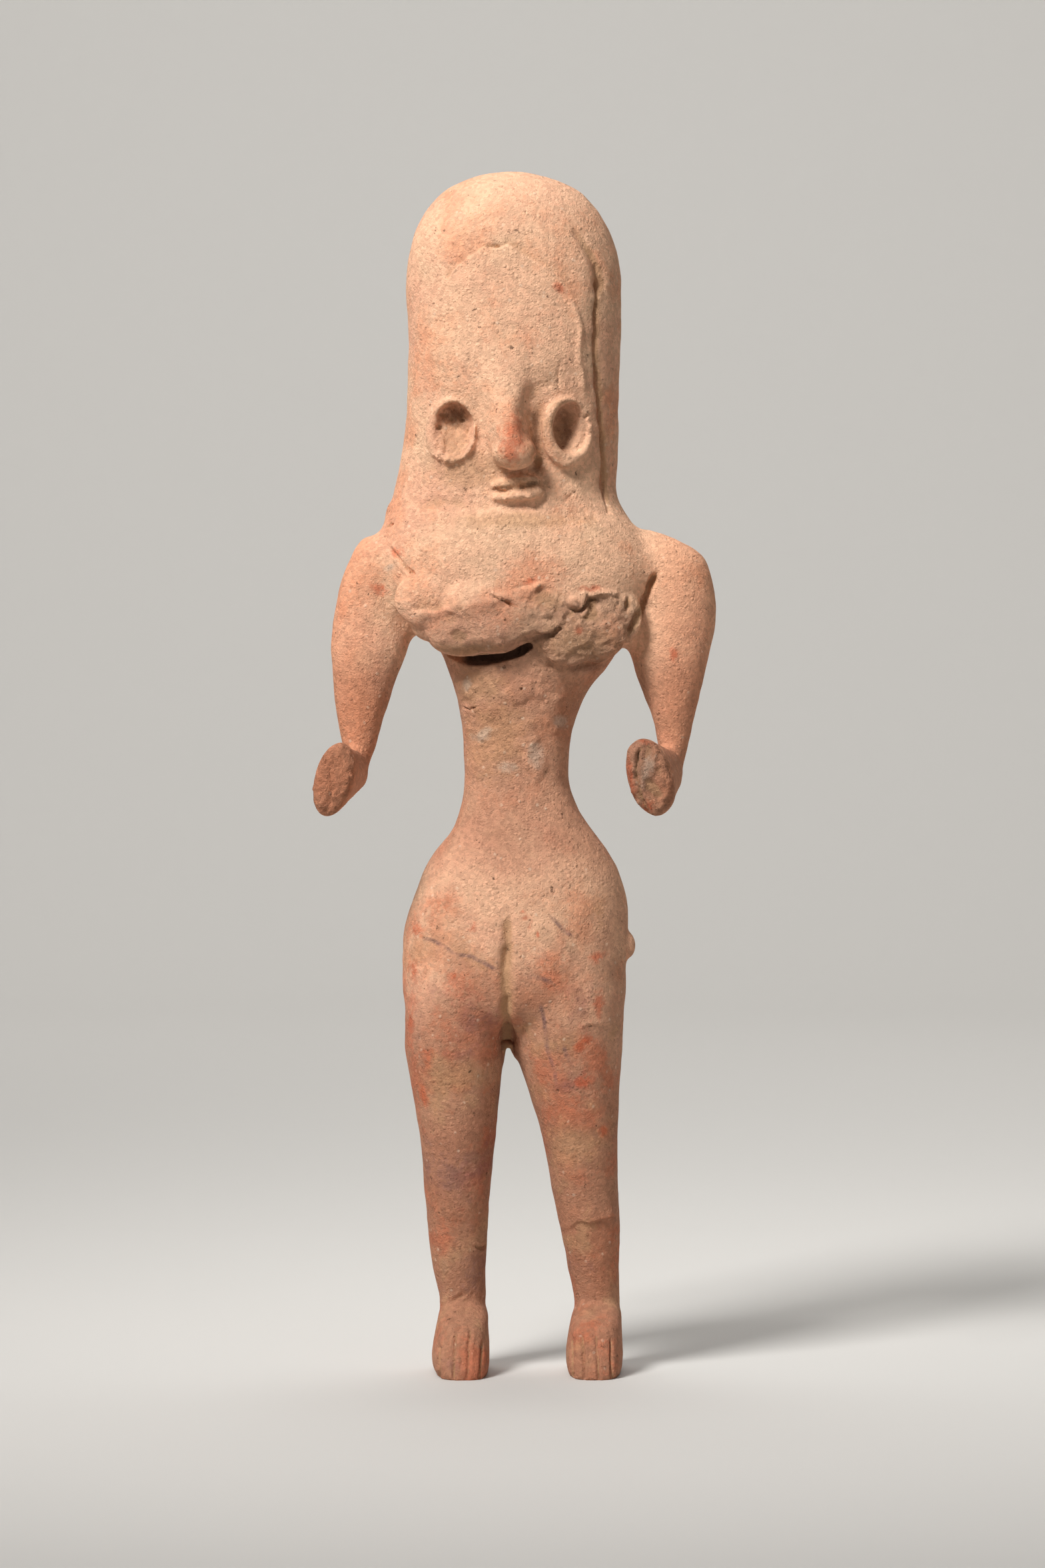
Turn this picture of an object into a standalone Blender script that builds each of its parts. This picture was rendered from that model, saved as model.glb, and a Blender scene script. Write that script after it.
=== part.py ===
"""A hand-modelled terracotta idol: a long-headed standing woman, fired as one solid.

The figure faces -Y, stands on two flat soles at z = 0 and is HEIGHT metres high. It is a free form, so
its proportions and its carving are shares of its own height: every table and every size below HEIGHT is
such a share. Clay forms are lofted from level sections and run together, soft places are pressed in,
small lumps are laid on, and grooves, hollows and toe lines are cut out last.
"""

import math
import random

import bmesh
import bpy
import numpy as np

HEIGHT = 0.280

NODE = "idol"
CLAY_COLOUR = (0.62, 0.33, 0.20, 1.0)
CLAY_ROUGHNESS = 0.88

# Fineness of the clay surface, and how many faces the finished solid keeps.
ROUGH_VOXEL = 0.0046
FINE_VOXEL = 0.0040
BLEND_STEPS = 7
SOFTEN_STEPS = 2
TRIANGLES = 8800

# Level sections: height, left edge, right edge, front edge, back edge.
TRUNK_ROUNDNESS = 2.3
TRUNK = (
    (0.900, -0.0894, 0.0894, -0.0670, 0.0720),
    (0.854, -0.0886, 0.0886, -0.0670, 0.0725),
    (0.820, -0.0890, 0.0874, -0.0650, 0.0710),
    (0.787, -0.0906, 0.0864, -0.0595, 0.0680),
    (0.754, -0.0956, 0.0858, -0.0555, 0.0650),
    (0.737, -0.0990, 0.0850, -0.0535, 0.0640),
    (0.721, -0.1044, 0.0900, -0.0545, 0.0630),
    (0.704, -0.1090, 0.1020, -0.0590, 0.0615),
    (0.670, -0.1150, 0.1190, -0.0625, 0.0600),
    (0.640, -0.1040, 0.1130, -0.0610, 0.0580),
    (0.615, -0.0780, 0.1000, -0.0560, 0.0540),
    (0.604, -0.0645, 0.0890, -0.0500, 0.0510),
    (0.587, -0.0575, 0.0790, -0.0440, 0.0460),
    (0.571, -0.0508, 0.0650, -0.0400, 0.0415),
    (0.554, -0.0462, 0.0563, -0.0370, 0.0425),
    (0.521, -0.0408, 0.0480, -0.0345, 0.0350),
    (0.487, -0.0406, 0.0474, -0.0350, 0.0350),
    (0.471, -0.0432, 0.0533, -0.0370, 0.0370),
    (0.454, -0.0492, 0.0642, -0.0400, 0.0410),
    (0.437, -0.0625, 0.0777, -0.0440, 0.0460),
    (0.421, -0.0726, 0.0860, -0.0480, 0.0505),
    (0.404, -0.0802, 0.0926, -0.0515, 0.0555),
    (0.387, -0.0862, 0.0955, -0.0540, 0.0590),
    (0.371, -0.0903, 0.0960, -0.0560, 0.0610),
    (0.337, -0.0922, 0.0951, -0.0570, 0.0620),
    (0.308, -0.0918, 0.0934, -0.0540, 0.0560),
    (0.296, -0.0800, 0.0800, -0.0460, 0.0460),
    (0.286, -0.0500, 0.0500, -0.0280, 0.0280),
)
# The crown of the head rises over the top section, as flat across as this exponent makes it.
CROWN_RISE = 0.100
CROWN_ROUNDNESS = 2.3
CROWN_LEAN = -0.003
CROWN_RINGS = 9

LEG_ROUNDNESS = 2.2
LEG_LEFT = (
    (0.350, -0.0860, -0.0060, -0.0500, 0.0540),
    (0.304, -0.0912, -0.0040, -0.0535, 0.0550),
    (0.271, -0.0902, -0.0075, -0.0500, 0.0515),
    (0.254, -0.0878, -0.0085, -0.0470, 0.0490),
    (0.221, -0.0822, -0.0117, -0.0415, 0.0450),
    (0.187, -0.0767, -0.0161, -0.0355, 0.0415),
    (0.154, -0.0744, -0.0194, -0.0290, 0.0390),
    (0.121, -0.0706, -0.0222, -0.0215, 0.0360),
    (0.087, -0.0668, -0.0228, -0.0145, 0.0335),
    (0.054, -0.0614, -0.0228, -0.0100, 0.0330),
    (0.030, -0.0625, -0.0222, -0.0100, 0.0340),
    (-0.012, -0.0620, -0.0225, -0.0090, 0.0340),
)
LEG_RIGHT = (
    (0.350, 0.0060, 0.0880, -0.0500, 0.0540),
    (0.304, 0.0010, 0.0930, -0.0535, 0.0550),
    (0.271, -0.0004, 0.0906, -0.0500, 0.0515),
    (0.254, 0.0052, 0.0894, -0.0470, 0.0490),
    (0.221, 0.0156, 0.0878, -0.0415, 0.0450),
    (0.187, 0.0256, 0.0872, -0.0355, 0.0415),
    (0.154, 0.0317, 0.0876, -0.0290, 0.0390),
    (0.121, 0.0383, 0.0898, -0.0215, 0.0360),
    (0.087, 0.0450, 0.0884, -0.0145, 0.0335),
    (0.054, 0.0511, 0.0878, -0.0100, 0.0330),
    (0.030, 0.0492, 0.0886, -0.0100, 0.0340),
    (-0.012, 0.0500, 0.0880, -0.0090, 0.0340),
)
FOOT_ROUNDNESS = 3.0
FOOT_LEFT = (
    (0.060, -0.0560, -0.0280, -0.0080, 0.0280),
    (0.050, -0.0610, -0.0215, -0.0220, 0.0320),
    (0.040, -0.0630, -0.0205, -0.0410, 0.0375),
    (0.030, -0.0648, -0.0197, -0.0480, 0.0405),
    (0.017, -0.0668, -0.0190, -0.0540, 0.0425),
    (0.006, -0.0655, -0.0196, -0.0580, 0.0425),
    (-0.004, -0.0600, -0.0225, -0.0560, 0.0400),
    (-0.012, -0.0540, -0.0260, -0.0500, 0.0320),
)
FOOT_RIGHT = (
    (0.060, 0.0550, 0.0830, -0.0080, 0.0280),
    (0.050, 0.0505, 0.0880, -0.0220, 0.0320),
    (0.040, 0.0475, 0.0888, -0.0410, 0.0375),
    (0.030, 0.0455, 0.0896, -0.0480, 0.0405),
    (0.017, 0.0433, 0.0903, -0.0540, 0.0425),
    (0.006, 0.0438, 0.0900, -0.0580, 0.0425),
    (-0.004, 0.0475, 0.0865, -0.0560, 0.0400),
    (-0.012, 0.0520, 0.0830, -0.0500, 0.0320),
)
ARM_ROUNDNESS = 2.2
ARM_LEFT = (
    (0.697, -0.1240, -0.1020, -0.0080, 0.0180),
    (0.687, -0.1315, -0.1000, -0.0220, 0.0260),
    (0.671, -0.1390, -0.1000, -0.0280, 0.0290),
    (0.654, -0.1445, -0.0990, -0.0305, 0.0300),
    (0.637, -0.1483, -0.0950, -0.0310, 0.0290),
    (0.604, -0.1522, -0.0850, -0.0300, 0.0250),
    (0.587, -0.1511, -0.0922, -0.0285, 0.0215),
    (0.554, -0.1479, -0.1038, -0.0250, 0.0150),
    (0.521, -0.1425, -0.1133, -0.0220, 0.0085),
    (0.504, -0.1395, -0.1190, -0.0215, 0.0050),
    (0.488, -0.1345, -0.1260, -0.0170, -0.0030),
)
ARM_RIGHT = (
    (0.702, 0.0960, 0.1180, -0.0080, 0.0180),
    (0.692, 0.0970, 0.1390, -0.0200, 0.0240),
    (0.679, 0.0980, 0.1580, -0.0270, 0.0280),
    (0.654, 0.1020, 0.1668, -0.0305, 0.0300),
    (0.638, 0.1030, 0.1690, -0.0310, 0.0290),
    (0.604, 0.0960, 0.1650, -0.0300, 0.0250),
    (0.587, 0.1000, 0.1611, -0.0285, 0.0215),
    (0.554, 0.1117, 0.1528, -0.0250, 0.0150),
    (0.521, 0.1194, 0.1456, -0.0220, 0.0085),
    (0.504, 0.1222, 0.1415, -0.0215, 0.0050),
    (0.488, 0.1260, 0.1345, -0.0170, -0.0030),
)
# Forearms run forwards and end in a broken, leaf-shaped face: sections at a distance in front of the
# middle, with the place of the middle across, its height, half the width and half the height. The leaf is
# full at LEAF_REACH and its rim is rounded over beyond it. Points of the leaf lean outwards.
FOREARM_ROUNDNESS = (2.2, 2.2)
LEAF_ROUNDNESS = (1.35, 1.85)
LEAF_LEAN = 0.19
LEAF_REACH = 0.078
FOREARM_LEFT = (
    (-0.004, -0.1290, 0.5030, 0.0085, 0.0140),
    (0.018, -0.1300, 0.5000, 0.0105, 0.0175),
    (0.040, -0.1345, 0.4975, 0.0120, 0.0210),
    (0.062, -0.1415, 0.4945, 0.0155, 0.0270),
    (LEAF_REACH, -0.1460, 0.4921, 0.0180, 0.0305),
    (0.083, -0.1460, 0.4921, 0.0150, 0.0290),
    (0.085, -0.1460, 0.4921, 0.0090, 0.0200),
)
FOREARM_RIGHT = (
    (-0.004, 0.1315, 0.5030, 0.0085, 0.0140),
    (0.018, 0.1300, 0.5005, 0.0105, 0.0175),
    (0.040, 0.1245, 0.4985, 0.0120, 0.0210),
    (0.062, 0.1165, 0.4968, 0.0155, 0.0270),
    (LEAF_REACH, 0.1110, 0.4954, 0.0185, 0.0320),
    (0.083, 0.1110, 0.4954, 0.0160, 0.0300),
    (0.085, 0.1110, 0.4954, 0.0100, 0.0210),
)
# The hair hangs down the back as one broad fall that ends behind the shoulders.
HAIR_ROUNDNESS = 3.2
HAIR = (
    (0.960, -0.0400, 0.0400, 0.0100, 0.0500),
    (0.930, -0.0640, 0.0660, 0.0000, 0.0640),
    (0.890, -0.0770, 0.0800, 0.0000, 0.0745),
    (0.840, -0.0830, 0.0860, 0.0000, 0.0780),
    (0.790, -0.0860, 0.0860, 0.0000, 0.0780),
    (0.740, -0.0920, 0.0850, 0.0000, 0.0765),
    (0.700, -0.0940, 0.0850, 0.0000, 0.0745),
    (0.675, -0.0860, 0.0800, 0.0100, 0.0710),
    (0.662, -0.0700, 0.0650, 0.0200, 0.0620),
)
# The pinched nose stands in front of the face by the fourth number, and roots in it by the fifth.
NOSE_ROUNDNESS = 2.1
NOSE = (
    (0.840, -0.0140, 0.0050, -0.0010, 0.0200),
    (0.822, -0.0165, 0.0075, 0.0060, 0.0200),
    (0.806, -0.0170, 0.0080, 0.0130, 0.0200),
    (0.787, -0.0170, 0.0085, 0.0205, 0.0200),
    (0.773, -0.0180, 0.0120, 0.0260, 0.0200),
    (0.762, -0.0190, 0.0180, 0.0290, 0.0180),
    (0.752, -0.0180, 0.0180, 0.0285, 0.0120),
    (0.744, -0.0110, 0.0110, 0.0230, 0.0020),
)
# How finely the forms are first made: points around a loft and rings from one section to the next, then
# the same for a lump and for an eye's rim, and the steps from one point of a cut line to the next.
LOFT_POINTS = 40
LOFT_RINGS = 4
LUMP_POINTS = 20
LUMP_RINGS = 12
RIM_POINTS = 36
RIM_TUBE_POINTS = 10
LINE_STEPS = 8
LINE_ROUNDING = 1
WELD_DISTANCE = 0.000001
SHARP_ANGLE = math.radians(50)

# Lumps laid on the front: across, height, half width, half depth, half height, and how far they are sunk in.
BREAST_LUMPS = (
    (-0.0700, 0.6240, 0.0190, 0.0120, 0.0150, 0.0030),
    (-0.0420, 0.6140, 0.0300, 0.0180, 0.0200, 0.0030),
    (-0.0150, 0.6140, 0.0260, 0.0170, 0.0180, 0.0030),
    (0.0060, 0.6240, 0.0220, 0.0130, 0.0160, 0.0030),
    (0.0250, 0.6290, 0.0210, 0.0115, 0.0200, 0.0040),
    (0.0460, 0.6160, 0.0270, 0.0140, 0.0300, 0.0050),
    (0.0680, 0.6190, 0.0260, 0.0140, 0.0300, 0.0050),
    (0.0880, 0.6270, 0.0180, 0.0125, 0.0230, 0.0050),
)
# Ragged clay where the breasts broke off: how many crumbs, the band they lie in, their sizes, how flat the
# flattest is, how far they stand off the chest, and the draw's seed.
CRUMBS = 34
CRUMB_LEFT_END = -0.0680
CRUMB_RIGHT_END = 0.0980
CRUMB_MIDDLE = 0.6230
CRUMB_SPREAD = 0.0150
CRUMB_SMALLEST = 0.0050
CRUMB_LARGEST = 0.0090
CRUMB_FLATTEST = 0.6
CRUMB_PROUD = 0.0085
CRUMB_SEED = 7

LIP_LUMPS = (
    (0.0030, 0.7365, 0.0170, 0.0105, 0.0046, 0.0000),
    (0.0045, 0.7240, 0.0205, 0.0120, 0.0068, 0.0000),
    (0.0345, 0.7350, 0.0170, 0.0090, 0.0130, 0.0030),
)
# The knob of clay on the hip and the end of the lock on the other shoulder: middle, then half sizes.
HIP_KNOB = ((0.0955, -0.0080, 0.3554), (0.0060, 0.0070, 0.0115))
LOCK_END = ((-0.0960, -0.0020, 0.7120), (0.0110, 0.0140, 0.0170))
BUTTOCKS = (
    ((-0.0430, 0.0230, 0.3280), (0.0460, 0.0440, 0.0640)),
    ((0.0430, 0.0230, 0.3280), (0.0460, 0.0440, 0.0640)),
)

# Soft places pressed into the clay: across, height, half width, half height, depth.
BACK_DENTS = (
    (0.0000, 0.3250, 0.0090, 0.0500, 0.0110),
    (0.0000, 0.5600, 0.0120, 0.0900, 0.0040),
)
FRONT_DENTS = (
    (0.0460, 0.7800, 0.0300, 0.0440, 0.0060),
    (0.0170, 0.7850, 0.0110, 0.0330, 0.0080),
    (-0.0300, 0.7850, 0.0280, 0.0330, 0.0030),
    (0.0020, 0.7280, 0.0240, 0.0180, 0.0040),
    (-0.0100, 0.5850, 0.0500, 0.0140, 0.0040),
    (0.0600, 0.5800, 0.0300, 0.0130, 0.0030),
)

# Eyes: across, height, half width and half height of the rim's middle line, and of the hollow inside it.
EYE_LEFT = (-0.0501, 0.7785, 0.0168, 0.0236, 0.0142, 0.0208)
EYE_RIGHT = (0.0440, 0.7795, 0.0165, 0.0250, 0.0138, 0.0208)
EYE_RIM_THICK = 0.0042
EYE_DEPTH = 0.0150
EYE_RIGHT_PROUD = 0.0040
EYE_LEFT_PROUD = 0.0022

# Lines scored or left open in the clay: half the width, how far each stands off the surface, its route,
# across and height.
LOCK_GROOVE = (0.0034, 0.0000, (
    (0.0560, 0.9360), (0.0690, 0.9120), (0.0680, 0.8600), (0.0695, 0.8216), (0.0722, 0.7854),
    (0.0745, 0.7300)))
FRONT_GROOVE = (0.0046, 0.0004, (
    (-0.0053, 0.3800), (-0.0053, 0.3396), (-0.0048, 0.3014), (-0.0042, 0.2730)))
FOREHEAD_ARC = (0.0022, 0.0006, (
    (-0.0500, 0.9080), (-0.0260, 0.9225), (-0.0113, 0.9270), (0.0182, 0.9140), (0.0422, 0.9000)))
MOUTH_SLOT = (0.0022, 0.0075, ((-0.0120, 0.7315), (0.0020, 0.7308), (0.0170, 0.7330)))
CHIN_LINE = (0.0024, 0.0004, ((-0.0670, 0.7215), (-0.0400, 0.7195), (-0.0150, 0.7180)))
UNDER_LIP = (0.0026, 0.0030, ((-0.0130, 0.7170), (0.0040, 0.7140), (0.0220, 0.7175)))
SHOULDER_SEAM = (0.0022, 0.0002, ((-0.1025, 0.6830), (-0.0910, 0.6728), (-0.0800, 0.6607)))
BREAST_SHADOW = (0.0044, -0.0010, (
    (-0.0540, 0.6010), (-0.0380, 0.5950), (-0.0145, 0.5970), (0.0067, 0.6030)))
BREAST_BREAK = (0.0036, 0.0090, ((0.0214, 0.6500), (0.0400, 0.6400), (0.0500, 0.6330), (0.0640, 0.6480)))
RIGHT_UNDERCUT = (0.0036, -0.0010, ((0.0270, 0.5880), (0.0470, 0.5830), (0.0700, 0.5920), (0.0900, 0.6010)))
SURFACE_LINES = (
    LOCK_GROOVE, FRONT_GROOVE, FOREHEAD_ARC, MOUTH_SLOT, CHIN_LINE, UNDER_LIP, SHOULDER_SEAM,
    BREAST_SHADOW, BREAST_BREAK, RIGHT_UNDERCUT,
)

# Toe lines run down the steep front of each foot.
TOE_LINE_HALF_WIDTH = 0.0017
TOE_LINE_TOP = 0.0400
TOE_LINES_LEFT = (-0.0585, -0.0480, -0.0372, -0.0268)
TOE_LINES_RIGHT = (0.0502, 0.0595, 0.0705, 0.0808)


def clear_scene():
    """Empties the scene of what it starts with."""
    for old in list(bpy.data.objects):
        bpy.data.objects.remove(old, do_unlink=True)


def clay_material():
    """The fired clay: an orange tan, matt."""
    material = bpy.data.materials.new("terracotta")
    material.use_nodes = True
    shader = material.node_tree.nodes["Principled BSDF"]
    shader.inputs["Base Color"].default_value = CLAY_COLOUR
    shader.inputs["Roughness"].default_value = CLAY_ROUGHNESS
    shader.inputs["Metallic"].default_value = 0.0
    return material


def smooth_rows(rows, steps):
    """Rows between the given ones, on a smooth cubic curve with slopes from their neighbours."""
    rows = np.array(rows, dtype=float)
    along = np.concatenate([[0.0], np.cumsum(np.linalg.norm(np.diff(rows, axis=0), axis=1))])
    slopes = np.gradient(rows, along, axis=0)
    at = np.concatenate([np.linspace(a, b, steps, endpoint=False) for a, b in zip(along[:-1], along[1:])])
    at = np.append(at, along[-1])
    first = np.clip(np.searchsorted(along, at, side="right") - 1, 0, len(along) - 2)
    gap = (along[first + 1] - along[first])[:, None]
    t = ((at - along[first])[:, None]) / gap
    return (
        (2 * t**3 - 3 * t**2 + 1) * rows[first]
        + (t**3 - 2 * t**2 + t) * gap * slopes[first]
        + (-2 * t**3 + 3 * t**2) * rows[first + 1]
        + (t**3 - t**2) * gap * slopes[first + 1]
    )


def rounded(angles, across, along):
    """Points of a superellipse of half size 1, with one exponent for each direction."""
    cos, sin = np.cos(angles), np.sin(angles)
    return np.sign(cos) * np.abs(cos) ** (2 / across), np.sign(sin) * np.abs(sin) ** (2 / along)


def level_rings(rows, roundness):
    """Rings of points for level sections given by their edges."""
    angles = np.linspace(0, 2 * math.pi, LOFT_POINTS, endpoint=False)
    u, v = rounded(angles, roundness, roundness)
    rings = []
    for height, left, right, front, back in smooth_rows(rows, LOFT_RINGS):
        x = (left + right) / 2 + (right - left) / 2 * u
        y = (front + back) / 2 + (back - front) / 2 * v
        rings.append(np.column_stack([x, y, np.full_like(x, height)]))
    return rings


def crown_rings():
    """Rings that close the head over the trunk's top section, as a quarter of a superellipse."""
    top, left, right, front, back = TRUNK[0]
    angles = np.linspace(0, 2 * math.pi, LOFT_POINTS, endpoint=False)
    u, v = rounded(angles, TRUNK_ROUNDNESS, TRUNK_ROUNDNESS)
    rings = []
    for turn in np.linspace(0, math.pi / 2, CROWN_RINGS + 1)[1:-1][::-1]:
        size, rise = rounded(turn, CROWN_ROUNDNESS, CROWN_ROUNDNESS)
        x = (left + right) / 2 + CROWN_LEAN * rise + (right - left) / 2 * size * u
        y = (front + back) / 2 + (back - front) / 2 * size * v
        rings.append(np.column_stack([x, y, np.full_like(x, top + CROWN_RISE * rise)]))
    return rings


def forearm_rings(rows, lean):
    """Rings of points for upright sections that turn from a flattened arm into the broken leaf."""
    angles = np.linspace(0, 2 * math.pi, LOFT_POINTS, endpoint=False)
    rows = smooth_rows(rows, LOFT_RINGS)
    rings = []
    for forward, middle, height, half_width, half_height in rows:
        blend = min(max(0.0, forward / LEAF_REACH), 1.0)
        across = FOREARM_ROUNDNESS[0] + (LEAF_ROUNDNESS[0] - FOREARM_ROUNDNESS[0]) * blend
        along = FOREARM_ROUNDNESS[1] + (LEAF_ROUNDNESS[1] - FOREARM_ROUNDNESS[1]) * blend
        u, v = rounded(angles, across, along)
        x = middle + half_width * u + lean * blend * half_height * v
        rings.append(np.column_stack([x, np.full_like(x, -forward), height + half_height * v]))
    return rings


def loft(rings, top=None):
    """A closed mesh through rings of points, its ends closed by fans, the first one to a given point."""
    shape = bmesh.new()
    loops = [[shape.verts.new(point * HEIGHT) for point in ring] for ring in rings]
    first = rings[0].mean(axis=0) if top is None else np.array(top)
    ends = [shape.verts.new(first * HEIGHT), shape.verts.new(rings[-1].mean(axis=0) * HEIGHT)]
    count = len(loops[0])
    for upper, lower in zip(loops[:-1], loops[1:]):
        for i in range(count):
            j = (i + 1) % count
            shape.faces.new((upper[i], lower[i], lower[j], upper[j]))
    for i in range(count):
        j = (i + 1) % count
        shape.faces.new((ends[0], loops[0][i], loops[0][j]))
        shape.faces.new((ends[1], loops[-1][j], loops[-1][i]))
    bmesh.ops.recalc_face_normals(shape, faces=shape.faces)
    return shape


def lump(middle, half_sizes):
    """A closed ellipsoid."""
    shape = bmesh.new()
    bmesh.ops.create_uvsphere(shape, u_segments=LUMP_POINTS, v_segments=LUMP_RINGS, radius=1.0)
    scale = np.array(half_sizes) * HEIGHT
    move = np.array(middle) * HEIGHT
    for vert in shape.verts:
        vert.co = np.array(vert.co) * scale + move
    return shape


def trunk_edges(height):
    """The trunk's left, right, front and back edges at a height."""
    rows = smooth_rows(TRUNK, LOFT_RINGS)[::-1]
    return [float(np.interp(height, rows[:, 0], rows[:, column])) for column in range(1, 5)]


def front_of_trunk(across, height):
    """How far back the trunk's front surface is, where it is cut by a line along Y."""
    crown = max(0.0, (height - TRUNK[0][0]) / CROWN_RISE)
    size = max(1 - crown**CROWN_ROUNDNESS, 0.0) ** (1 / CROWN_ROUNDNESS)
    left, right, front, back = trunk_edges(height)
    offset = abs(across - (left + right) / 2) / ((right - left) / 2 * size)
    depth = max(1 - min(offset, 1.0) ** TRUNK_ROUNDNESS, 0.0) ** (1 / TRUNK_ROUNDNESS)
    return (front + back) / 2 - (back - front) / 2 * size * depth


def front_lump(across, height, half_width, half_depth, half_height, sunk):
    """A lump laid on the front of the trunk."""
    middle = (across, front_of_trunk(across, height) + sunk, height)
    return lump(middle, (half_width, half_depth, half_height))


def nose_rows():
    """The nose's level sections, standing in front of the face that they sit on."""
    rows = []
    for height, left, right, proud, root in NOSE:
        face = front_of_trunk((left + right) / 2, height)
        rows.append((height, left, right, face - proud, face + root))
    return rows


def eye_rim(eye, proud):
    """The raised rim of an eye: a ring stretched to an oval, turned to lie on the cheek."""
    across, height, half_width, half_height = eye[:4]
    bpy.ops.mesh.primitive_torus_add(
        major_segments=RIM_POINTS, minor_segments=RIM_TUBE_POINTS,
        major_radius=1.0, minor_radius=EYE_RIM_THICK / half_width)
    ring = bpy.context.object
    points = np.empty(len(ring.data.vertices) * 3)
    ring.data.vertices.foreach_get("co", points)
    points = points.reshape(-1, 3)
    shape = bmesh.new()
    shape.from_mesh(ring.data)
    bpy.data.objects.remove(ring, do_unlink=True)
    for vert, (u, v, out) in zip(shape.verts, points):
        x = across + u * half_width
        z = height + v * half_height
        y = front_of_trunk(x, z) - proud - out * half_width
        vert.co = (x * HEIGHT, y * HEIGHT, z * HEIGHT)
    bmesh.ops.recalc_face_normals(shape, faces=shape.faces)
    return shape


def line_points(route, off):
    """A smooth route over the front of the trunk."""
    return [(x, front_of_trunk(x, z) - off, z) for x, z in smooth_rows(route, LINE_STEPS)]


def mesh_object(name, shape, collection):
    """Puts a bmesh into an object of its own."""
    mesh = bpy.data.meshes.new(name)
    shape.to_mesh(mesh)
    shape.free()
    obj = bpy.data.objects.new(name, mesh)
    collection.objects.link(obj)
    return obj


def as_cutter(obj):
    """Marks an object as a tool that only cuts."""
    obj.hide_render = True
    obj.display_type = "WIRE"
    return obj


def rod_cutter(name, points, radius, collection):
    """A round rod along points, made a closed mesh so that it can cut."""
    curve = bpy.data.curves.new(name, "CURVE")
    curve.dimensions = "3D"
    curve.bevel_depth = radius * HEIGHT
    curve.bevel_resolution = LINE_ROUNDING
    curve.use_fill_caps = True
    spline = curve.splines.new("POLY")
    spline.points.add(len(points) - 1)
    for point, place in zip(spline.points, points):
        point.co = (*(np.array(place) * HEIGHT), 1.0)
    route = bpy.data.objects.new(name + "_route", curve)
    collection.objects.link(route)
    shape = bmesh.new()
    shape.from_mesh(used_up(route))
    bmesh.ops.remove_doubles(shape, verts=shape.verts, dist=WELD_DISTANCE)
    bmesh.ops.recalc_face_normals(shape, faces=shape.faces)
    return as_cutter(mesh_object(name, shape, collection))


def add_modifier(obj, name, kind, **values):
    """A modifier with its values."""
    modifier = obj.modifiers.new(name, kind)
    for key, value in values.items():
        setattr(modifier, key, value)
    return modifier


def joined(name, shapes, collection):
    """One object that holds several closed shapes, which may run through each other."""
    whole = bmesh.new()
    for shape in shapes:
        piece = bpy.data.meshes.new("piece")
        shape.to_mesh(piece)
        shape.free()
        whole.from_mesh(piece)
        bpy.data.meshes.remove(piece)
    return mesh_object(name, whole, collection)


def used_up(obj):
    """The mesh that an object's modifiers make, taken from the object, which goes."""
    graph = bpy.context.evaluated_depsgraph_get()
    mesh = bpy.data.meshes.new_from_object(obj.evaluated_get(graph))
    bpy.data.objects.remove(obj, do_unlink=True)
    return mesh


def press_dents(mesh):
    """Presses the soft places into the front and the back, each as a bell-shaped hollow."""
    count = len(mesh.vertices)
    points = np.empty(count * 3, dtype=np.float32)
    mesh.vertices.foreach_get("co", points)
    points = points.reshape(count, 3)
    normals = np.empty(count * 3, dtype=np.float32)
    mesh.vertices.foreach_get("normal", normals)
    for dents, inward in ((FRONT_DENTS, 1.0), (BACK_DENTS, -1.0)):
        facing = np.clip(-inward * normals.reshape(count, 3)[:, 1], 0.0, 1.0)
        for across, height, half_width, half_height, depth in dents:
            u = (points[:, 0] / HEIGHT - across) / half_width
            v = (points[:, 2] / HEIGHT - height) / half_height
            points[:, 1] += inward * depth * HEIGHT * facing * np.exp(-(u**2 + v**2))
    mesh.vertices.foreach_set("co", points.ravel())
    mesh.update()


def forearms():
    """Both forearms with their broken ends."""
    return [loft(forearm_rings(FOREARM_LEFT, LEAF_LEAN)), loft(forearm_rings(FOREARM_RIGHT, -LEAF_LEAN))]


def rough_clay(collection):
    """The big forms run together: head and trunk, hair, arms and legs."""
    crown_top = (CROWN_LEAN, (TRUNK[0][3] + TRUNK[0][4]) / 2, TRUNK[0][0] + CROWN_RISE)
    shapes = [
        loft(crown_rings() + level_rings(TRUNK, TRUNK_ROUNDNESS), top=crown_top),
        loft(level_rings(HAIR, HAIR_ROUNDNESS)),
        loft(level_rings(LEG_LEFT, LEG_ROUNDNESS)),
        loft(level_rings(LEG_RIGHT, LEG_ROUNDNESS)),
        loft(level_rings(ARM_LEFT, ARM_ROUNDNESS)),
        loft(level_rings(ARM_RIGHT, ARM_ROUNDNESS)),
    ]
    shapes += forearms()
    shapes += [lump(middle, half_sizes) for middle, half_sizes in BUTTOCKS]
    clay = joined("rough_clay", shapes, collection)
    add_modifier(clay, "Run together", "REMESH", mode="VOXEL", voxel_size=ROUGH_VOXEL * HEIGHT)
    add_modifier(clay, "Blend joints", "SMOOTH", factor=0.5, iterations=BLEND_STEPS)
    return clay


def surface_lumps():
    """What is laid on the rough clay: the face's forms, stumps, lock end, knob, forearms and feet."""
    shapes = [
        loft(level_rings(nose_rows(), NOSE_ROUNDNESS)),
        loft(level_rings(FOOT_LEFT, FOOT_ROUNDNESS)),
        loft(level_rings(FOOT_RIGHT, FOOT_ROUNDNESS)),
        eye_rim(EYE_LEFT, EYE_LEFT_PROUD),
        eye_rim(EYE_RIGHT, EYE_RIGHT_PROUD),
        lump(*HIP_KNOB),
        lump(*LOCK_END),
    ]
    return shapes + forearms() + crumbs() + [front_lump(*row) for row in BREAST_LUMPS + LIP_LUMPS]


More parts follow.
